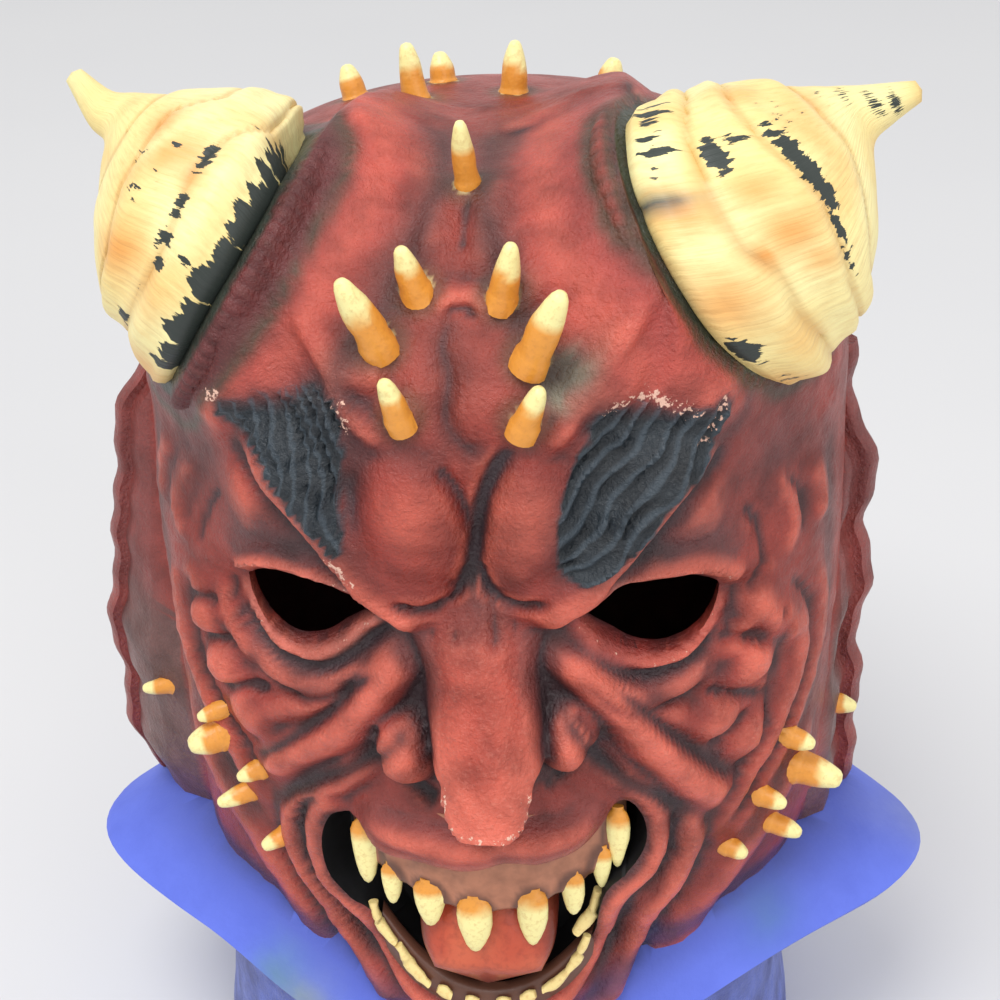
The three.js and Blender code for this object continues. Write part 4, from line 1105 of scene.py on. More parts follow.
def horn_seat(side):
    """The ribbed ring of skin that a horn stands in, with painted shade between the ribs."""
    steps = [step[0] for step in SEAT_STEPS]
    rings, _, _ = horn_rings(side, steps, [step[1] for step in SEAT_STEPS], 4 * SEAT_RIBS)
    middle = rings.mean(axis=1, keepdims=True)
    rib = SEAT_RIB_HEIGHT * np.cos(2 * math.pi * np.arange(4 * SEAT_RIBS) / 4)
    rib_share = np.array(SEAT_RIB_SHARES)[:, None] * SEAT_RIBBED[side]
    points, faces = loft(middle + (rings - middle) * (1 + rib * rib_share / SEAT_RADIUS)[..., None])
    # Painted shade: darker between the ribs
    between = np.append(np.tile(np.clip(-rib, 0, 1), len(SEAT_STEPS)), [0, 0])
    colours = paint_near_horns(points, np.tile(SKIN_RED, (len(points), 1)))
    note(SKIN, points, colours * (1 - 0.35 * between)[:, None], 0.1)
    return points, faces


def with_ends(field):
    """The values over a form's rings, with those of its two end points added."""
    return np.append(field.ravel(), [field[0, 0], field[-1, 0]])


horn_parts = []
horn_insides = []
seat_parts = []
for side in (-1, 1):
    _, _, length = horn_rings(side, [0], 0)
    body = np.linspace(3, length, HORN_ROWS)
    distances = np.concatenate([[step[0] for step in HORN_LIP], body])
    wider = np.concatenate([[step[1] for step in HORN_LIP], np.zeros(len(body))])
    rings, radii, _ = horn_rings(side, distances, wider)
    ss, degrees = np.meshgrid(distances, 360 * np.arange(HORN_COUNT) / HORN_COUNT, indexing="ij")
    radius = radii[:, None]
    centres = rings.mean(axis=1, keepdims=True)
    outwards = (rings - centres) / np.linalg.norm(rings - centres, axis=2)[..., None]
    flat = rings.reshape(-1, 3)
    wander = grain(flat, 9, 31 + side).reshape(ss.shape) * 0.7
    bump = np.zeros(ss.shape)
    start = np.full(ss.shape, -4.0)
    ridges = [np.interp(degrees, *np.array(run).T) for run in WHORL_ENDS[side]] + [np.full(ss.shape, 70.0)]
    for end in ridges:
        t = (ss + wander - start) / (end - start)
        within = (t >= 0) & (t < 1)
        shell = WHORL_STEP[side] * np.clip(t, 0, 1) ** 0.6 * np.clip(1 - np.clip(t, 0, 1) ** 10, 0, 1)
        bump = np.where(within & (ss > 1), shell, bump)
        bump -= 0.9 * np.exp(-((ss + wander - end) / 1.1) ** 2) * (ss > 2)
        start = end
    bump -= foot_trim(side, ss, degrees)
    lumps = grain(flat, 12, 36) * 0.7 + grain(flat, 5, 37) * 0.3
    bump += lumps.reshape(ss.shape)
    groove = around_horn(ss, degrees, radius, HORN_GROOVES[side])
    bump -= groove * 1.6
    bump *= np.clip(radius / 14, 0.15, 1)
    rings = rings + outwards * bump[..., None]
    tip = rings[-1].mean(axis=0) + (rings[-1].mean(axis=0) - rings[-2].mean(axis=0)) * 1.2
    horn_parts.append(loft(rings, end=tip))
    horn_insides.append(horn_hollow(side, length))
    seat_parts.append(horn_seat(side))
    pale = smooth(0.5 + grain(flat, 14, 63 + side)).ravel()[:, None]
    oranges = np.clip(around_horn(ss, degrees, radius, HORN_ORANGES[side]), 0, 1).ravel()
    oranges = np.clip(oranges + 0.25 * smooth((grain(flat, 11, 65) - 0.1) / 0.5), 0, 1)
    horn_paint = mix(mix(HORN_CREAM, HORN_PALE, pale), HORN_ORANGE, oranges[:, None])
    ridge_shade = np.zeros(ss.shape)
    for end in ridges[:-1]:
        ridge_shade = np.maximum(ridge_shade, np.exp(-((ss + wander - end) / 0.9) ** 2))
    # Painted shade: brown along the end of each whorl, under its raised edge
    horn_paint = mix(horn_paint, WHORL_SHADE_BROWN, 0.45 * ridge_shade.ravel()[:, None])
    horn_paint = mix(horn_paint, HORN_GROOVE_GREY, np.clip(groove * 1.5, 0, 1).ravel()[:, None])
    # The paint has come off in fingers, all along the front of the left foot and in two places on the right
    if side < 0:
        margin = 0.44 * smooth((9 - ss) / 9) * smooth((degrees - 78) / 16) * smooth((225 - degrees) / 20)
    else:
        margin = 0.3 * around_horn(ss, degrees, radius, RIGHT_FOOT_FLAKES)
    chips = around_horn(ss, degrees, radius, HORN_CHIPS[side])
    round_mm = np.radians(degrees) * HORN_FEET[side]["radius"]
    horn_paint = np.vstack([horn_paint, horn_paint[:1], horn_paint[-1:]])
    note(HORN, horn_parts[-1][0], horn_paint, *map(with_ends, (chips, ss, round_mm, margin)))

# Thick flexible paint that flakes in strips along the horn, over fine ribs about 2.5 mm apart.
RIB_MM = 2.5
FLAKE_WIDE_MM = 2.0
FINGER_WIDE_MM = 3.2
# How much of a flake, and of a finger of bare latex, one millimetre along the horn is
FLAKE_ALONG = 0.22
FINGER_ALONG = 0.07

horn_paint_finish, tree, shader = paint_material("cream_horn_paint", IOR=1.5, Roughness=0.48)
laid = add(tree, "Attribute", attribute_name="paint")["Color"]
chip_share, lengthwise, round_it, margin_share = [
    add(tree, "Attribute", attribute_name=name)["Fac"] for name in CORNER_VALUES]
along_flake = add(tree, "Math", {1: FLAKE_ALONG}, {0: lengthwise}, operation="MULTIPLY")[0]
round_flake = add(tree, "Math", {1: 1 / FLAKE_WIDE_MM}, {0: round_it}, operation="MULTIPLY")[0]
flake_place = add(tree, "CombineXYZ", None, {"X": along_flake, "Y": round_flake})[0]
flake = add(tree, "TexNoise", {"Scale": 1.0, "Detail": 5.0, "Roughness": 0.6}, {"Vector": flake_place})["Fac"]
along_finger = add(tree, "Math", {1: FINGER_ALONG}, {0: lengthwise}, operation="MULTIPLY")[0]
round_finger = add(tree, "Math", {1: 1 / FINGER_WIDE_MM}, {0: round_it}, operation="MULTIPLY")[0]
finger_place = add(tree, "CombineXYZ", None, {"X": along_finger, "Y": round_finger})[0]
finger = add(tree, "TexNoise", {"Scale": 1.0, "Detail": 4.0, "Roughness": 0.55},
             {"Vector": finger_place})["Fac"]
flake_level = add(tree, "Math", None, {0: flake, 1: chip_share}, operation="ADD")[0]
finger_level = add(tree, "Math", None, {0: finger, 1: margin_share}, operation="ADD")[0]
chip_level = add(tree, "Math", None, {0: flake_level, 1: finger_level}, operation="MAXIMUM")[0]
chip_mask = add(tree, "MapRange", {"From Min": 0.8, "From Max": 0.82}, {"Value": chip_level})["Result"]
round_rib = add(tree, "Math", {1: 2 / RIB_MM}, {0: round_it}, operation="MULTIPLY")[0]
rib_place = add(tree, "CombineXYZ", None, {"X": along_finger, "Y": round_rib})[0]
rib_height = add(tree, "TexNoise", {"Scale": 1.0, "Detail": 3.0}, {"Vector": rib_place})["Fac"]
stain = add(tree, "MapRange", {"From Min": 0.45, "From Max": 0.75, "To Max": 0.35}, {"Value": flake})[0]
stained = add(tree, "Mix", {7: rgba(HORN_STAIN)}, {0: stain, 6: laid}, data_type="RGBA")[2]
finished = add(tree, "Mix", {7: rgba(HORN_GREEN)}, {0: chip_mask, 6: stained}, data_type="RGBA")[2]
ribbed = add(tree, "Bump", {"Strength": 0.5, "Distance": 0.0007}, {"Height": rib_height})[0]
flaked = add(tree, "Bump", {"Strength": 0.5, "Distance": 0.0004}, {"Height": chip_mask, "Normal": ribbed},
             invert=True)[0]
tree.links.new(finished, shader.inputs["Base Color"])
tree.links.new(flaked, shader.inputs["Normal"])
finishes[HORN] = horn_paint_finish


# Spikes
# Short cast points over the brow, crown and jaw, cream at the tip and orange at the foot, each with
# a small ragged skirt of pale paint round it. They are moulded in one with the skin.

# Compass angle and height of the foot, length, radius, lift from level and sideways lean
BROW_SPIKES = [
    (-9.4, 60, 12, 3.2, 74, -12), (9.2, 58, 12, 3.2, 76, 21), (-14.3, 74.5, 20, 4.2, 72, -20),
    (11.5, 72, 20, 4.2, 76, 23), (-9.3, 84, 12, 3.5, 75, -12), (7.2, 82.5, 14.5, 3.5, 78, 10),
    (-1.7, 98.5, 17, 3, 76, -2),
]
# Place across and from front to back, and length
CROWN_SPIKES = [(-20, 6, 14.5), (6, 12, 13.5), (-39, 22, 9), (-15, 28, 8), (31, 26, 8)]
CROWN_SPIKE_RADIUS = 3.6
CROWN_SPIKE_SPREAD = 140
SPIKE_SIDES = 16
# Compass angle and height of the foot, length, radius, and how far beyond the skin it stands
JAW_SPIKES = [
    (-75.8, -68, 9, 2.8, 6), (-51, -50, 5, 2.5, 0), (-50.6, -58.5, 9, 4.6, 0), (-43.8, -64.5, 6.5, 2.8, 0),
    (-47.6, -77, 10, 3, 0), (-40.2, -87, 7, 2.8, 0), (79.7, -77, 7.5, 3.2, 2), (56.7, -60, 6.5, 3, 0),
    (59, -73.5, 12.5, 5, 0), (50.6, -75, 7, 3, 0), (53.8, -88, 9, 3.2, 0), (46, -91.5, 5.5, 2.8, 0),
]
SPIKE_CREAM = linear("#f3e7a0")
SPIKE_ORANGE = linear("#e2973a")
SPIKE_SKIRT = linear("#e6cf8e")
OVERSPRAY = linear("#54472f")
SPIKE_PROFILE = [(0.0, 1.12), (0.05, 1.04), (0.1, 1.0), (0.22, 0.97), (0.36, 0.94), (0.5, 0.88), (0.64, 0.78),
                 (0.78, 0.66), (0.9, 0.52), (0.97, 0.34)]
TOOTH_PROFILE = [(0.0, 0.5), (0.06, 0.8), (0.16, 0.97), (0.32, 1.0), (0.5, 0.95), (0.68, 0.78), (0.84, 0.55),
                 (0.95, 0.3)]


def skin_at(turn_degrees, height_up):
    """The carved skin's own point at a turn and a height."""
    wanted = math.radians(turn_degrees) % (2 * math.pi)
    column = int(np.argmin(np.abs(turns - wanted)))
    row = int(np.argmin(np.abs(heights - height_up)))
    return skin[row * TURN_COUNT + column]


def pointed(foot, direction, length, radius, seed, profile=SPIKE_PROFILE, flat=1.0, sink=4.0):
    """A worn, slightly uneven point that leaves its foot along a direction."""
    along_it = np.asarray(direction, float) / np.linalg.norm(direction)
    sunk = radius * profile[0][1]
    rings = [ring_around(np.asarray(foot) - along_it * sink, along_it, sunk, sunk * flat, SPIKE_SIDES)]
    for share, scale in profile:
        centre = np.asarray(foot) + along_it * length * share
        rings.append(ring_around(centre, along_it, radius * scale, radius * scale * flat, SPIKE_SIDES))
    rings = np.array(rings)
    middle = rings.mean(axis=1, keepdims=True)
    uneven = 1 + 0.12 * grain(rings.reshape(-1, 3) + seed * 17.3, radius * 1.1, 41).reshape(rings.shape[:2])
    rings = middle + (rings - middle) * uneven[..., None]
    points, faces = loft(rings, rings[0].mean(axis=0), np.asarray(foot) + along_it * length)
    height = np.clip(((points - foot) @ along_it) / length, 0, 1)
    return points, faces, height


def note_point(points, height, border):
    """Cream above a wavy border and orange below it."""
    level = height + 0.1 * grain(points, 3, 42)
    note(TOOTH, points, mix(SPIKE_ORANGE, SPIKE_CREAM, smooth((level - border) / 0.12)[:, None]))


spike_parts = []
spike_feet = []
for k, (angle_out, height_up, length, radius, lift, lean) in enumerate(BROW_SPIKES):
    foot = skin_at(angle_out, height_up)
    flat_share = math.cos(math.radians(lift))
    direction = (math.sin(math.radians(lean)), -flat_share, math.sin(math.radians(lift)))
    spike_parts.append(pointed(foot, direction, length, radius, k))
    spike_feet.append((foot, radius))
for k, (x, y, length) in enumerate(CROWN_SPIKES):
    nearest = np.argmin(np.hypot(skin[:, 0] - x, skin[:, 1] - y) + (skin[:, 2] < 40) * 500)
    foot = skin[nearest]
    direction = (x / CROWN_SPIKE_SPREAD, y / CROWN_SPIKE_SPREAD, 1)
    spike_parts.append(pointed(foot, direction, length, CROWN_SPIKE_RADIUS, 20 + k))
    spike_feet.append((foot, CROWN_SPIKE_RADIUS))
for k, (angle_out, height_up, length, radius, out) in enumerate(JAW_SPIKES):
    turned = math.radians(angle_out)
    direction = np.array([math.sin(turned), -math.cos(turned) * 0.6, -0.1])
    foot = skin_at(angle_out, height_up) + direction * out
    spike_parts.append(pointed(foot, direction, length, radius, 40 + k, sink=4 + out))
for points, _, height in spike_parts:
    note_point(points, height, 0.46)

foot_gap = np.full(len(skin), 1e9)
for foot, radius in spike_feet:
    foot_gap = np.minimum(foot_gap, np.linalg.norm(skin - foot, axis=1) - radius)
lay_over(OVERSPRAY, 0.6 * smooth((6 - foot_gap) / 5))
lay_over(SPIKE_SKIRT, smooth((0.5 + 0.8 * grain(skin, 3, 44) - foot_gap) / 0.5))


def stained_paint(slot, name, pattern_mm, detail, limits, tone, bump=None, breakup=0.5, **shader_values):
    """A finish whose laid colour is stained with a second tone by a pattern, which may also lift it."""
    finish, tree, shader = paint_material(name, **shader_values)
    place = add(tree, "TexCoord")["Object"]
    laid = add(tree, "Attribute", attribute_name="paint")["Color"]
    pattern = add(tree, "TexNoise", {"Scale": 1000 / pattern_mm, "Detail": detail, "Roughness": breakup},
                  {"Vector": place})["Fac"]
    start, full, most = limits
    share = add(tree, "MapRange", {"From Min": start, "From Max": full, "To Max": most},
                {"Value": pattern})["Result"]
    stained = add(tree, "Mix", {7: rgba(linear(tone))}, {0: share, 6: laid}, data_type="RGBA")[2]
    tree.links.new(stained, shader.inputs["Base Color"])
    if bump:
        strength, distance = bump
        normal = add(tree, "Bump", {"Strength": strength, "Distance": distance}, {"Height": pattern})[0]
        tree.links.new(normal, shader.inputs["Normal"])
    finishes[slot] = finish
    return tree, shader, place


# The points have a smoother, glossier paint than the skin. Brown stains of 1 to 2 mm make it look old.
STAIN_MM = 1.4
stained_paint(TOOTH, "cream_tooth_paint", STAIN_MM, 4.0, (0.5, 0.75, 0.4), "#b9772f", (0.45, 0.0005),
              breakup=0.6, IOR=1.5, Roughness=0.36)


# Ears
# Long flaps of the same red latex that grow out of the cheek and stand off the sides of the head,
# with wavy edges and a line pressed in along them. They are a darker, duller red than the face.

# Height, how far out the edge stands on the left and the right side, and where the flap's front starts
EAR_STATIONS = [
    (-122, 121, 107, -34), (-104, 125.5, 109.5, -38), (-84, 126, 109, -40), (-64, 125.5, 107, -38),
    (-46, 123.5, 109, -32), (-22, 117.5, 106.5, -22), (-4, 115.5, 107.5, -15), (20, 108.5, 101, -10),
    (40, 97, 98, -8),
]
EAR_BOTTOM = EAR_STATIONS[0][0]
EAR_TOP = EAR_STATIONS[-1][0]
EAR_RED = linear("#7e3a37")
EAR_EDGE_RED = linear("#97443e")
EAR_BAND_GREY = linear("#6b4a45")
EAR_LINE_BROWN = linear("#3d2526")


def ear(side):
    rings = []
    shares = []
    for ear_up, left_edge, right_edge, front in curve(EAR_STATIONS, 8):
        edge = left_edge if side < 0 else right_edge
        edge += 1.2 * math.sin(0.16 * ear_up + side) + 0.5 * math.sin(0.41 * ear_up)
        y = mix(3, -7, (ear_up - EAR_BOTTOM) / (EAR_TOP - EAR_BOTTOM))
        outline = curve([
            (84, front + 2), (mix(88, edge, 0.5), front * 0.55 - 2), (edge - 8, front * 0.12 - 5),
            (edge - 5.5, -3.4), (edge - 3, -4.2), (edge - 0.8, -2), (edge, 1), (edge - 4, 6),
            (86, 17), (78, 2),
        ], 2)
        rings.append([(side * x, y + dy, ear_up) for x, dy in outline])
        shares.append([smooth((x - edge + 7) / 2) for x, _ in outline])
    return loft(np.array(rings)), np.append(np.array(shares, float).ravel(), [0, 0])


ears = []
for side in (-1, 1):
    ear_part, edge_share = ear(side)
    ears.append(ear_part)
    points = ear_part[0]
    depth = smooth(0.5 + 0.5 * grain(points, 10, 62))[:, None]
    front_band = smooth((-30 - points[:, 2]) / 20) * smooth((-points[:, 1] - 4) / 8) * (1 - edge_share)
    pressed_line = 0.7 * np.exp(-((edge_share - 0.3) / 0.2) ** 2)
    ear_paint = mix(mix(EAR_RED, EAR_EDGE_RED, depth), EAR_BAND_GREY, 0.85 * front_band[:, None])
    ear_paint = mix(ear_paint, EAR_LINE_BROWN, pressed_line[:, None])
    note(SKIN, points, ear_paint, 0.12)


# Collar
# A thick blue lapel moulded round the neck. It leaves the jaw, slopes out and down, and has a blunt
# corner at each side. Its paint is matte, with a few teal and yellow stains, and it is darker against
# the jaw and on its inner underside as painted shade.

COLLAR_EDGE = 4.5
COLLAR_UNDER = 12
COLLAR_FLARE = 12
CORNER_FLARE = {-1: 37, 1: 38}
CORNER_ANGLE = 83
CORNER_SPREAD = 17
# How far the collar slopes down, round the neck and at its corners
COLLAR_DROP = 19
CORNER_DROP = 13
COLLAR_COUNT = 200
COLLAR_SHADE = (0, 0.5, 0.9, 1, 1, 1, 1, 1, 0.5)
# Place, radius and colour
COLLAR_STAINS = [
    ((84, -62, -122), 11, "#3f6f6c"), ((-58, -76, -150), 10, "#8f9a58"),
    ((-66, -72, -140), 8, "#5f8a86"), ((128, -10, -126), 14, "#7c86b8"),
]
COLLAR_BLUE = linear("#5e72dc")
COLLAR_LOWER = linear("#6474c4")
COLLAR_NAVY = linear("#2c2f60")


def angle_away(turned):
    """How many degrees a turn is from straight ahead, to either side."""
    return np.degrees(np.abs(np.arctan2(np.sin(turned), np.cos(turned))))


def collar_root(away):
    """The height at which the collar leaves the skin, lowest under the chin and highest at the back."""
    return -116 - 34 * smooth((58 - away) / 58) + 8 * smooth((away - 80) / 70)


def plain_radius(turned, at_up):
    return math.hypot(*(float(value) for value in plain_head(turned, at_up)))


def collar_section(turned):
    away = float(angle_away(turned))
    corner = math.exp(-((away - CORNER_ANGLE) / CORNER_SPREAD) ** 2)
    root_up = float(collar_root(away))
    edge_up = root_up - mix(COLLAR_DROP, CORNER_DROP, corner)
    under_up = edge_up - COLLAR_UNDER
    top = plain_radius(turned, root_up)
    reach = top + mix(COLLAR_FLARE, CORNER_FLARE[-1 if math.sin(turned) < 0 else 1], corner)
    under = plain_radius(turned, under_up)
    outline = [
        (top - 2, root_up + 3), (mix(top, reach, 0.3), mix(root_up, edge_up, 0.2)),
        (mix(top, reach, 0.65), mix(root_up, edge_up, 0.6)), (reach - 1.5, edge_up + 0.4),
        (reach, edge_up - 1.6), (reach - 1.5, edge_up - COLLAR_EDGE + 0.6),
        (mix(under, reach, 0.5), edge_up - COLLAR_EDGE - 4), (under - 2, under_up),
        (top - 6, mix(root_up, under_up, 0.5)),
    ]
    return [(math.sin(turned) * r, -math.cos(turned) * r, at_up) for r, at_up in outline]


collar_rings = np.array([collar_section(turned) for turned in head_turns(COLLAR_COUNT, 0.1)])
ring_points = collar_rings.shape[1]
collar_points = collar_rings.reshape(-1, 3)
ripple = np.column_stack([np.zeros((len(collar_points), 2)), grain(collar_points, 16, 51) * 0.9])
i, j = np.meshgrid(np.arange(COLLAR_COUNT), np.arange(ring_points), indexing="ij")
ring_a, ring_b = i * ring_points, ((i + 1) % COLLAR_COUNT) * ring_points
following = (j + 1) % ring_points
collar_faces = np.stack([ring_a + j, ring_b + j, ring_b + following, ring_a + following], axis=2)
collar_part = outward(collar_points + ripple, collar_faces.reshape(-1, 4).tolist())
collar_points = collar_part[0]
place_in_ring = np.tile(np.arange(ring_points), COLLAR_COUNT)
# Painted shade: darker where the collar leaves the jaw and on its inner underside
from_jaw = np.array(COLLAR_SHADE)[place_in_ring]
collar_paint = mix(COLLAR_NAVY, COLLAR_BLUE, (0.3 + 0.7 * from_jaw)[:, None])
for stain_place, size, colour in COLLAR_STAINS:
    share = 0.7 * np.exp(-(np.linalg.norm(collar_points - stain_place, axis=1) / size) ** 2)
    collar_paint = mix(collar_paint, linear(colour), share[:, None])
note(COLLAR, collar_points, collar_paint)
collar_gap = up - collar_root(angle_away(turn))
lay_over(COLLAR_NAVY, 0.75 * smooth((9 - np.abs(collar_gap - 2)) / 8))
lay_over(COLLAR_LOWER, smooth((-4 - collar_gap) / 4))

# The collar's paint is matte, so its highlights are wide and faint. It lies in soft clouds over the fine
# grain of the latex.
CLOUD_MM = 14
COLLAR_GRAIN_MM = 1.8
tree, shader, place = stained_paint(COLLAR, "matte_blue_paint", CLOUD_MM, 5.0, (0.4, 0.7, 0.35), "#4a5cc2",
                                    breakup=0.6, IOR=1.5, Roughness=0.6)
latex_grain = add(tree, "TexNoise", {"Scale": 1000 / COLLAR_GRAIN_MM, "Detail": 3.0}, {"Vector": place})[0]
normal = add(tree, "Bump", {"Strength": 0.3, "Distance": 0.0006}, {"Height": latex_grain})[0]
tree.links.new(normal, shader.inputs["Normal"])


# Hollow and holes
# The wearer's side follows the plain form of the head, 3 mm in, in bare latex. The eye holes are cut
# through, and the mouth is a closed pocket with a breathing hole in each corner, coloured near black as
# painted shade.

WALL = 3.2
HEM_WALL = 5
HEM_HEIGHT = 9
MOUTH_BACK = 66
POCKET_WALL = 4
LEFT_EYE = [(-60, 2.5), (-59, -4), (-56, -9.5), (-51, -12.8), (-45, -13.4), (-38, -10.8), (-31, -5),
            (-25.5, 0), (-23.5, 2.4), (-29, 4.6), (-36, 7), (-43, 8.6), (-50, 8.8), (-56, 7)]
RIGHT_EYE = [(24.5, 2.6), (27, -1.5), (33.5, -8), (39.5, -12), (46, -13.6), (52, -12.8), (57.5, -9.4),
             (60.4, -3), (60.6, 3), (54, 6.4), (44, 7.2), (34, 6)]
MOUTH = [(-37, -66), (-33, -70), (-28.7, -73.7), (-17.7, -73.4), (-3.2, -73.9), (6.2, -71.6), (16.6, -72.5),
         (25.8, -70.9), (31.8, -66), (35, -61), (39, -61), (42.6, -66.3), (43.8, -73.2), (42, -79.5), (38, -84),
         (33, -88), (31, -95), (29.5, -107), (25.5, -118), (19.5, -126), (8, -131), (-6, -131), (-18, -128),
         (-25, -121), (-30, -112), (-34, -103), (-39.6, -98.7), (-44.5, -92.2), (-46.3, -84),
         (-45.5, -75.5), (-42, -68)]


def wall_rings(heights_in, turns_in, inset):
    rings = []
    lower = 1 - WALL / DOME_RISE
    for height_in, wall in zip(heights_in, inset):
        x, y = plain_head(turns_in, height_in, wall)
        swelling = broad_relief(x, height_in) * facing(turns_in)
        outwards = steepness(x, y)
        z = height_in + swelling * (1 - outwards)
        z = np.where(z > DOME_START, DOME_START + (z - DOME_START) * lower, z)
        rings.append(np.column_stack([
            x + np.sin(turns_in) * swelling * outwards, y - np.cos(turns_in) * swelling * outwards, z]))
    return np.array(rings)


hollow_turns = head_turns(64, 0.25)
hem_heights = [-EYE_HEIGHT, -EYE_HEIGHT + HEM_HEIGHT, -EYE_HEIGHT + HEM_HEIGHT + 3]
hollow_heights = np.concatenate([hem_heights, head_heights(8, 20, 18)[1:]])
hollow_walls = [HEM_WALL, HEM_WALL] + [WALL] * (len(hollow_heights) - 2)
hollow_rings = wall_rings(hollow_heights, hollow_turns, hollow_walls)
hollow_rings[0, :, 2] -= 5
hollow_part = loft(hollow_rings, (0, 0, -EYE_HEIGHT - 5), (0, DOME_CENTRE, DOME_START + DOME_RISE - WALL))


def cutter(outline, depths, scales=None):
    path = curve(list(outline) + [outline[0]], 3)[:-1]
    scales = scales or [1] * len(depths)
    return loft(np.array([[(x * scale, y, z) for x, z in path] for y, scale in zip(depths, scales)]))


def grown(outline, by):
    middle = np.mean(outline, axis=0)
    out = []
    for x, z in outline:
        away_from = np.array([x, z]) - middle
        out.append(tuple(middle + away_from * (1 + by / np.linalg.norm(away_from))))
    return out


eye_cuts = [cutter(LEFT_EYE, (-130, -40)), cutter(RIGHT_EYE, (-130, -40))]
pocket_cut = cutter(MOUTH, (-140, -MOUTH_BACK - 10, -MOUTH_BACK), (1, 1, 0.88))
room_depths = (-140, -MOUTH_BACK - 10, -MOUTH_BACK + POCKET_WALL)
pocket_room = cutter(grown(MOUTH, POCKET_WALL), room_depths, (1, 1, 0.88))
breathing_cuts = []
for side in (-1, 1):
    breathing_rings = [ring_around((side * 36, y, -76), (0, 1, 0), 5, 9, 16) for y in (-100, -50)]
    breathing_cuts.append(loft(np.array(breathing_rings)))
note(INSIDE, hollow_part[0], linear("#6d3b38"))
# The pocket's near black is painted shade
note(POCKET, pocket_cut[0], linear("#08080b"))

# Unpainted latex is dull, and it is darker where it pooled as the mould was drained.
POUR_MM = 9
stained_paint(INSIDE, "bare_latex", POUR_MM, 4.0, (0.35, 0.7, 0.6), "#4c2927", (0.3, 0.0008),
              IOR=1.52, Roughness=0.6)

# Near black, as painted shade that makes the mouth look deep. Its brush marks are hardly lighter.
BRUSH_MM = 3
stained_paint(POCKET, "black_mouth_shade", BRUSH_MM, 3.0, (0.4, 0.8, 0.5), "#17161c", IOR=1.5, Roughness=0.7)


# Gums, tongue and teeth
# They are cast in one with the mask. The gums are tan with a dark line round each tooth, the tongue
# is orange red with a dark edge, and the lower teeth are thin uneven plates along the jaw.

GUM_TAN = linear("#b07458")
GUM_DARK = linear("#3a2320")
TONGUE_RED = linear("#b8492f")
TONGUE_BLUSH = linear("#cf6a48")
TONGUE_EDGE = linear("#4a1a16")
# Place across, height of the top and the bottom, and half width
UPPER_TEETH = [
    (-33.3, -70.4, -91.1, 4), (-26.1, -82.3, -95.1, 3), (-15.2, -83.7, -98.1, 4.4), (-2.7, -86.8, -104.5, 4.9),
    (13, -85.3, -103.1, 4.3), (24, -82.6, -95.9, 3.3), (31.6, -77.4, -89.9, 2.6), (35.8, -65.9, -84.3, 3.3),
]
# A run along the jaw's edge for each plate, and its half width
LOWER_PLATES = [
    ([(-33.2, -101), (-32, -108), (-27, -113)], 1.7), ([(-26, -113), (-22.5, -120), (-17.5, -124.5)], 1.9),
    ([(30.8, -92), (28.5, -99.5), (24.5, -105)], 2.3), ([(27.5, -107.5), (25, -114), (22, -118.8)], 1.7),
    ([(22, -118.6), (18, -122.8), (15, -124)], 1.6), ([(-15, -125), (-11, -126.5)], 2.4),
    ([(-7, -127), (-3, -127.5)], 2.4), ([(2, -127.5), (6, -127)], 2.4), ([(9, -126.5), (13, -125)], 2.2),
]
# Depth, height, half width and half thickness
TONGUE_STATIONS = [(-60, -90, 17, 8), (-72, -93, 19, 9), (-82, -99, 19.5, 9), (-89, -107, 18.5, 8),
                   (-93, -114, 15, 6)]


def arch_y(x):
    return -94 + 17 * (x / 40) ** 2


def gum_bottom(x):
    return -91.5 + 11 * (x / 36) ** 2


gum_rings = []
for x in np.linspace(-37, 38, 61):
    y = arch_y(x) + 0.4
    bottom = gum_bottom(x)
    swollen = max(1.5 * math.exp(-((x - tooth[0]) / (tooth[3] * 0.95)) ** 2) for tooth in UPPER_TEETH)
    outline = curve([
        (y + 2, -60), (y + 0.5 - swollen * 0.5, -74), (y - swollen * 0.9, bottom + 5),
        (y - swollen * 0.5, bottom + 0.8 - swollen), (y + 3, bottom - 0.6 - swollen), (y + 10, bottom + 2),
        (y + 10, -60),
    ], 5)
    gum_rings.append([(x, oy, oz) for oy, oz in outline])
upper_gum = loft(np.array(gum_rings))
gum_rings = []
for x in np.linspace(-31, 30, 35):
    y = arch_y(x) + 3
    top = -125.5 + 23 * (x / 33) ** 2
    outline = curve([
        (y, top - 14), (y - 0.6, top - 6), (y, top - 1.5), (y + 2, top), (y + 5, top - 1), (y + 6, top - 14),
    ], 2)
    gum_rings.append([(x, oy, oz) for oy, oz in outline])
lower_gum = loft(np.array(gum_rings))
for points, _ in (upper_gum, lower_gum):
    near_tooth = np.full(len(points), 1e9)
    for x, top, bottom, half in UPPER_TEETH:
        centre_up = (top + bottom) / 2
        tall = (top - bottom) / 2
        ring = np.hypot((points[:, 0] - x) / (half + 0.6), (points[:, 2] - centre_up) / (tall + 0.6))
        near_tooth = np.minimum(near_tooth, np.abs(ring - 1) * half)
    at_edge = smooth((gum_bottom(points[:, 0]) + 1.2 - points[:, 2]) / 2)
    dark = np.maximum(smooth((1.7 - near_tooth) / 1.4), at_edge)
    note(GUM, points, mix(GUM_TAN, GUM_DARK, (0.8 * dark)[:, None]))

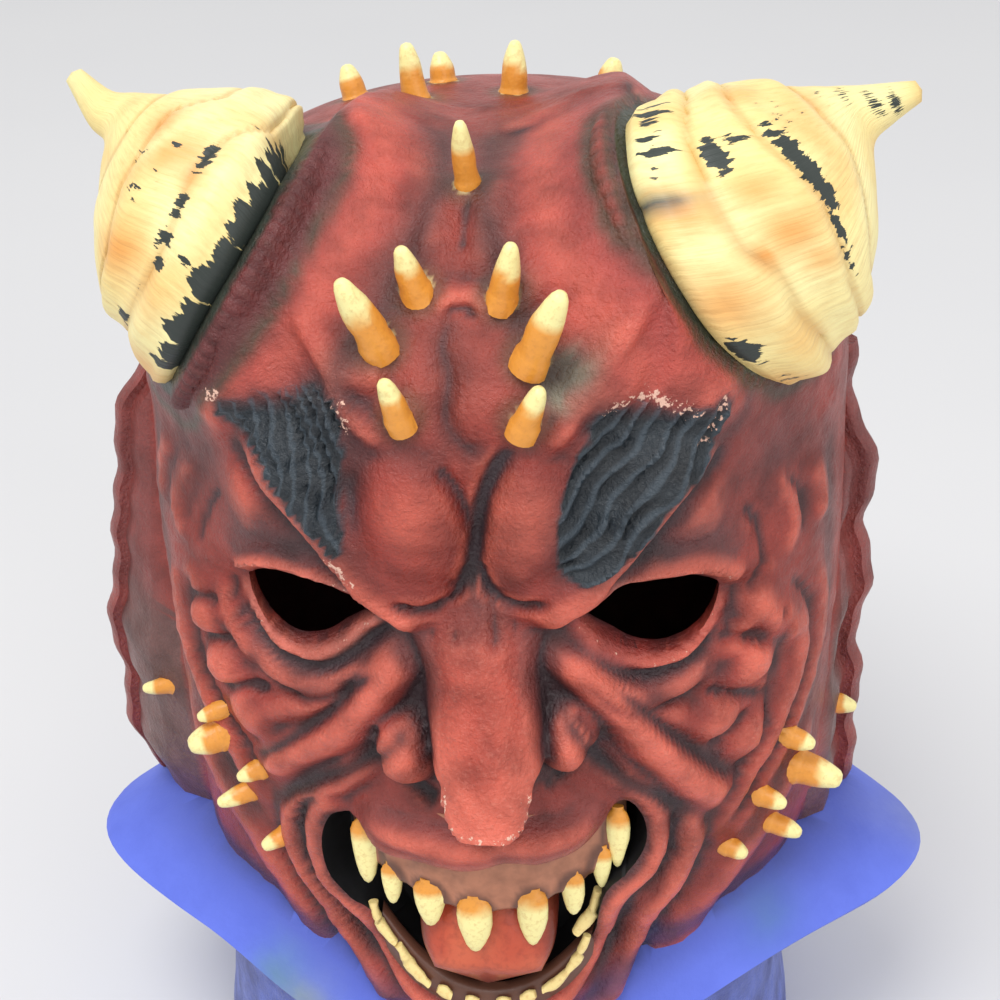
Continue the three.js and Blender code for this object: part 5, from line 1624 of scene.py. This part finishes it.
tongue_rings = []
for y, height_up, wide, thick in curve(TONGUE_STATIONS, 5):
    ring = ring_around((0, y, height_up), (0, -0.72, -0.7), wide, thick, 32)
    groove = np.exp(-((ring[:, 0] + 1) / 3.5) ** 2) * (ring[:, 1] < y)
    ring[:, 1] += groove * 1.4
    tongue_rings.append(ring)
tongue_part = loft(np.array(tongue_rings), None, (0, -94, -118.5))
points = tongue_part[0]
edge = np.maximum(smooth((-109 - points[:, 2]) / 8), smooth((np.abs(points[:, 0]) - 14) / 5))
blush = smooth(0.5 + grain(points, 7, 81))[:, None]
tongue_colours = mix(TONGUE_RED, TONGUE_BLUSH, 0.6 * blush)
note(TONGUE, points, mix(tongue_colours, TONGUE_EDGE, (0.85 * edge)[:, None]))

tooth_parts = []
for k, (x, top, bottom, half) in enumerate(UPPER_TEETH):
    foot = (x, arch_y(x) + 0.3, top + 0.5)
    tooth_parts.append(pointed(foot, (0, -0.14, -1), top - bottom + 0.5, half, 60 + k, TOOTH_PROFILE, 0.6, 1))
    note_point(tooth_parts[-1][0], tooth_parts[-1][2], 0.17)


def plate(run, half, seed):
    run = curve(run, 4)
    rings = []
    for k, (x, height_up) in enumerate(run):
        share = k / (len(run) - 1)
        width = half * (0.35 + 0.65 * math.sin(math.pi * mix(0.12, 0.9, share)))
        before, after = run[max(k - 1, 0)], run[min(k + 1, len(run) - 1)]
        direction = (after[0] - before[0], 0, after[1] - before[1])
        rings.append(ring_around((x, arch_y(x) + 0.8, height_up), direction, 1.3, width, 12))
    rings = np.array(rings)
    middle = rings.mean(axis=1, keepdims=True)
    uneven = 1 + 0.3 * grain(rings.reshape(-1, 3) + seed * 9.7, 2.4, 43).reshape(rings.shape[:2])
    return loft(middle + (rings - middle) * uneven[..., None])


plate_parts = []
for k, (run, half) in enumerate(LOWER_PLATES):
    plate_parts.append(plate(run, half, k))
    note(TOOTH, plate_parts[-1][0], mix(SPIKE_CREAM, SPIKE_ORANGE, 0.25))

# Glossy tan paint with soft brown shadows makes the gums look wet.
GUM_SHADOW_MM = 4
stained_paint(GUM, "tan_gum_paint", GUM_SHADOW_MM, 4.0, (0.4, 0.75, 0.5), "#6b4230", (0.4, 0.0006),
              IOR=1.5, Roughness=0.36)

# Glossy orange red paint lies over small buds, which break up the tongue's highlights.
BUD_MM = 2
stained_paint(TONGUE, "orange_tongue_paint", BUD_MM, 4.0, (0.45, 0.75, 0.45), "#7d2a1c", (0.5, 0.0006),
              IOR=1.5, Roughness=0.34)


# One casting
# All the parts are joined, the hollow, the pocket and the holes are cut out, and the teeth go in last.


def combine_object(target, tool, operation):
    modifier = target.modifiers.new("joint", "BOOLEAN")
    modifier.solver = "MANIFOLD"
    modifier.operation = operation
    modifier.object = tool
    bpy.context.view_layer.update()
    graph = bpy.context.evaluated_depsgraph_get()
    mesh = bpy.data.meshes.new_from_object(target.evaluated_get(graph))
    target.modifiers.clear()
    target.data = mesh
    bpy.data.objects.remove(tool)


def combine(target, part, slot, operation, name):
    combine_object(target, mesh_of(name, part[0], part[1], slot), operation)


skin_rings = skin.reshape(grid_shape + (3,))
crown_point = (0, DOME_CENTRE, skin_rings[-1, :, 2].mean() + 0.6)
mask = mesh_of("latex_mask_skin", *loft(skin_rings, (0, 0, -EYE_HEIGHT), crown_point), SKIN)
combine(mask, collar_part, COLLAR, "UNION", "collar")
for ear_part in ears:
    combine(mask, ear_part, SKIN, "UNION", "ear")
for seat_part in seat_parts:
    combine(mask, seat_part, SKIN, "UNION", "horn_seat")
for horn_part in horn_parts:
    combine(mask, horn_part, HORN, "UNION", "horn")
for part in spike_parts:
    combine(mask, part[:2], TOOTH, "UNION", "spike")
hollow = mesh_of("hollow", *hollow_part, INSIDE)
combine(hollow, joined(horn_insides), INSIDE, "UNION", "horn_hollows")
combine(hollow, pocket_room, INSIDE, "DIFFERENCE", "pocket_room")
combine_object(mask, hollow, "DIFFERENCE")
combine(mask, pocket_cut, POCKET, "DIFFERENCE", "pocket")
combine(mask, joined(eye_cuts), SKIN, "DIFFERENCE", "eyes")
combine(mask, joined(breathing_cuts), POCKET, "DIFFERENCE", "breathing")
combine(mask, upper_gum, GUM, "UNION", "upper_gum")
combine(mask, lower_gum, GUM, "UNION", "lower_gum")
combine(mask, tongue_part, TONGUE, "UNION", "tongue")
for part in tooth_parts:
    combine(mask, part[:2], TOOTH, "UNION", "tooth")
for part in plate_parts:
    combine(mask, part, TOOTH, "UNION", "lower_tooth")


# Laying the paint
# Every corner of the joined mask takes the colour, worn paint and other values of the part it came from.

paint = paint_near_horns(skin, paint)
# Where the pale specks go: over the bulges and the nose, partly dry brushing and partly painted highlight
dry_brush_highlight = smooth((-small_hollow - 0.15) / 0.8) * 0.7 * ahead * (1 - hair)
dry_brush_highlight = np.maximum(dry_brush_highlight, smooth((-large_hollow - 1) / 3) * 0.55 * ahead * (1 - hair))
dry_brush_highlight = np.maximum(dry_brush_highlight, on_nose * 0.5) * smooth((collar_gap - 6) / 6)
note(SKIN, skin, paint, dry_brush_highlight, np.where(hair > 0.02, strand, 0), np.clip(hair, 0, 1), scratched)


def lay_paint(mesh):
    count = len(mesh.loops)
    corner_vertex = np.zeros(count, np.int32)
    mesh.loops.foreach_get("vertex_index", corner_vertex)
    face_slot = np.zeros(len(mesh.polygons), np.int32)
    mesh.polygons.foreach_get("material_index", face_slot)
    face_size = np.zeros(len(mesh.polygons), np.int32)
    mesh.polygons.foreach_get("loop_total", face_size)
    corner_slot = np.repeat(face_slot, face_size)
    places = np.zeros(len(mesh.vertices) * 3, np.float32)
    mesh.vertices.foreach_get("co", places)
    places = places.reshape(-1, 3)
    values = np.zeros((count, 7))
    for slot, parts in sources.items():
        points = np.vstack([part[0] for part in parts])
        known = np.vstack([part[1] for part in parts])
        tree = kdtree.KDTree(len(points))
        for index, point in enumerate(points):
            tree.insert(point, index)
        tree.balance()
        mine = np.flatnonzero(corner_slot == slot)
        vertices, back = np.unique(corner_vertex[mine], return_inverse=True)
        found = np.array([tree.find(places[v])[1] for v in vertices], int)
        if len(found):
            values[mine] = known[found][back]
    colour = mesh.color_attributes.new("paint", "FLOAT_COLOR", "CORNER")
    colour.data.foreach_set("color", np.column_stack([values[:, :3], np.ones(count)]).ravel())
    for k, attribute_name in enumerate(CORNER_VALUES):
        attribute = mesh.attributes.new(attribute_name, "FLOAT", "CORNER")
        attribute.data.foreach_set("value", values[:, 3 + k].copy())


mask.name = "painted_mask"
mask.data.name = "painted_mask"
lay_paint(mask.data)
mask.data.polygons.foreach_set("use_smooth", np.ones(len(mask.data.polygons), bool))
mask.data.set_sharp_from_angle(angle=math.radians(58))
for slot, finish in finishes.items():
    mask.data.materials[slot] = finish

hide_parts("latex_mask")
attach(mask, "root")


# Floor and light
# A pale plain surface and soft studio light from above and in front.

FLOOR_HALF = 4
floor_mesh = bpy.data.meshes.new("floor")
floor_corners = [(x * FLOOR_HALF, y * FLOOR_HALF, 0) for x, y in ((-1, -1), (1, -1), (1, 1), (-1, 1))]
floor_mesh.from_pydata(floor_corners, [], [(0, 1, 2, 3)])
floor = bpy.data.objects.new("floor", floor_mesh)
bpy.context.scene.collection.objects.link(floor)

# Matte paper, pale and even, so that the mask's soft shadow is all that shows on it
PAPER_CLOUD_MM = 1000 / 3
PAPER_TONES = {6: rgba(linear("#d3d3d5")), 7: rgba(linear("#d8d8d9"))}
paper, tree, shader = paint_material("pale_paper", IOR=1.45, Roughness=0.9)
place = add(tree, "TexCoord")["Object"]
cloud = add(tree, "TexNoise", {"Scale": 1000 / PAPER_CLOUD_MM}, {"Vector": place})["Fac"]
finished = add(tree, "Mix", PAPER_TONES, {0: cloud}, data_type="RGBA")[2]
tree.links.new(finished, shader.inputs["Base Color"])
floor_mesh.materials.append(paper)

world = bpy.data.worlds.new("studio")
world.use_nodes = True
world.node_tree.nodes["Background"].inputs["Color"].default_value = (1, 1, 1, 1)
world.node_tree.nodes["Background"].inputs["Strength"].default_value = 0.88
bpy.context.scene.world = world


def area_light(name, place, target, size, watts):
    data = bpy.data.lights.new(name, "AREA")
    data.size = size
    data.energy = watts
    lamp = bpy.data.objects.new(name, data)
    lamp.location = place
    lamp.rotation_euler = (Vector(target) - Vector(place)).to_track_quat("-Z", "Y").to_euler()
    bpy.context.scene.collection.objects.link(lamp)


area_light("key", (-0.35, -0.7, 1.9), (0, 0, 0.2), 0.9, 20)
area_light("fill", (0.9, -1.2, 0.9), (0, 0, 0.2), 1.0, 5)
bpy.context.scene.view_settings.view_transform = "Standard"

bpy.context.view_layer.update()
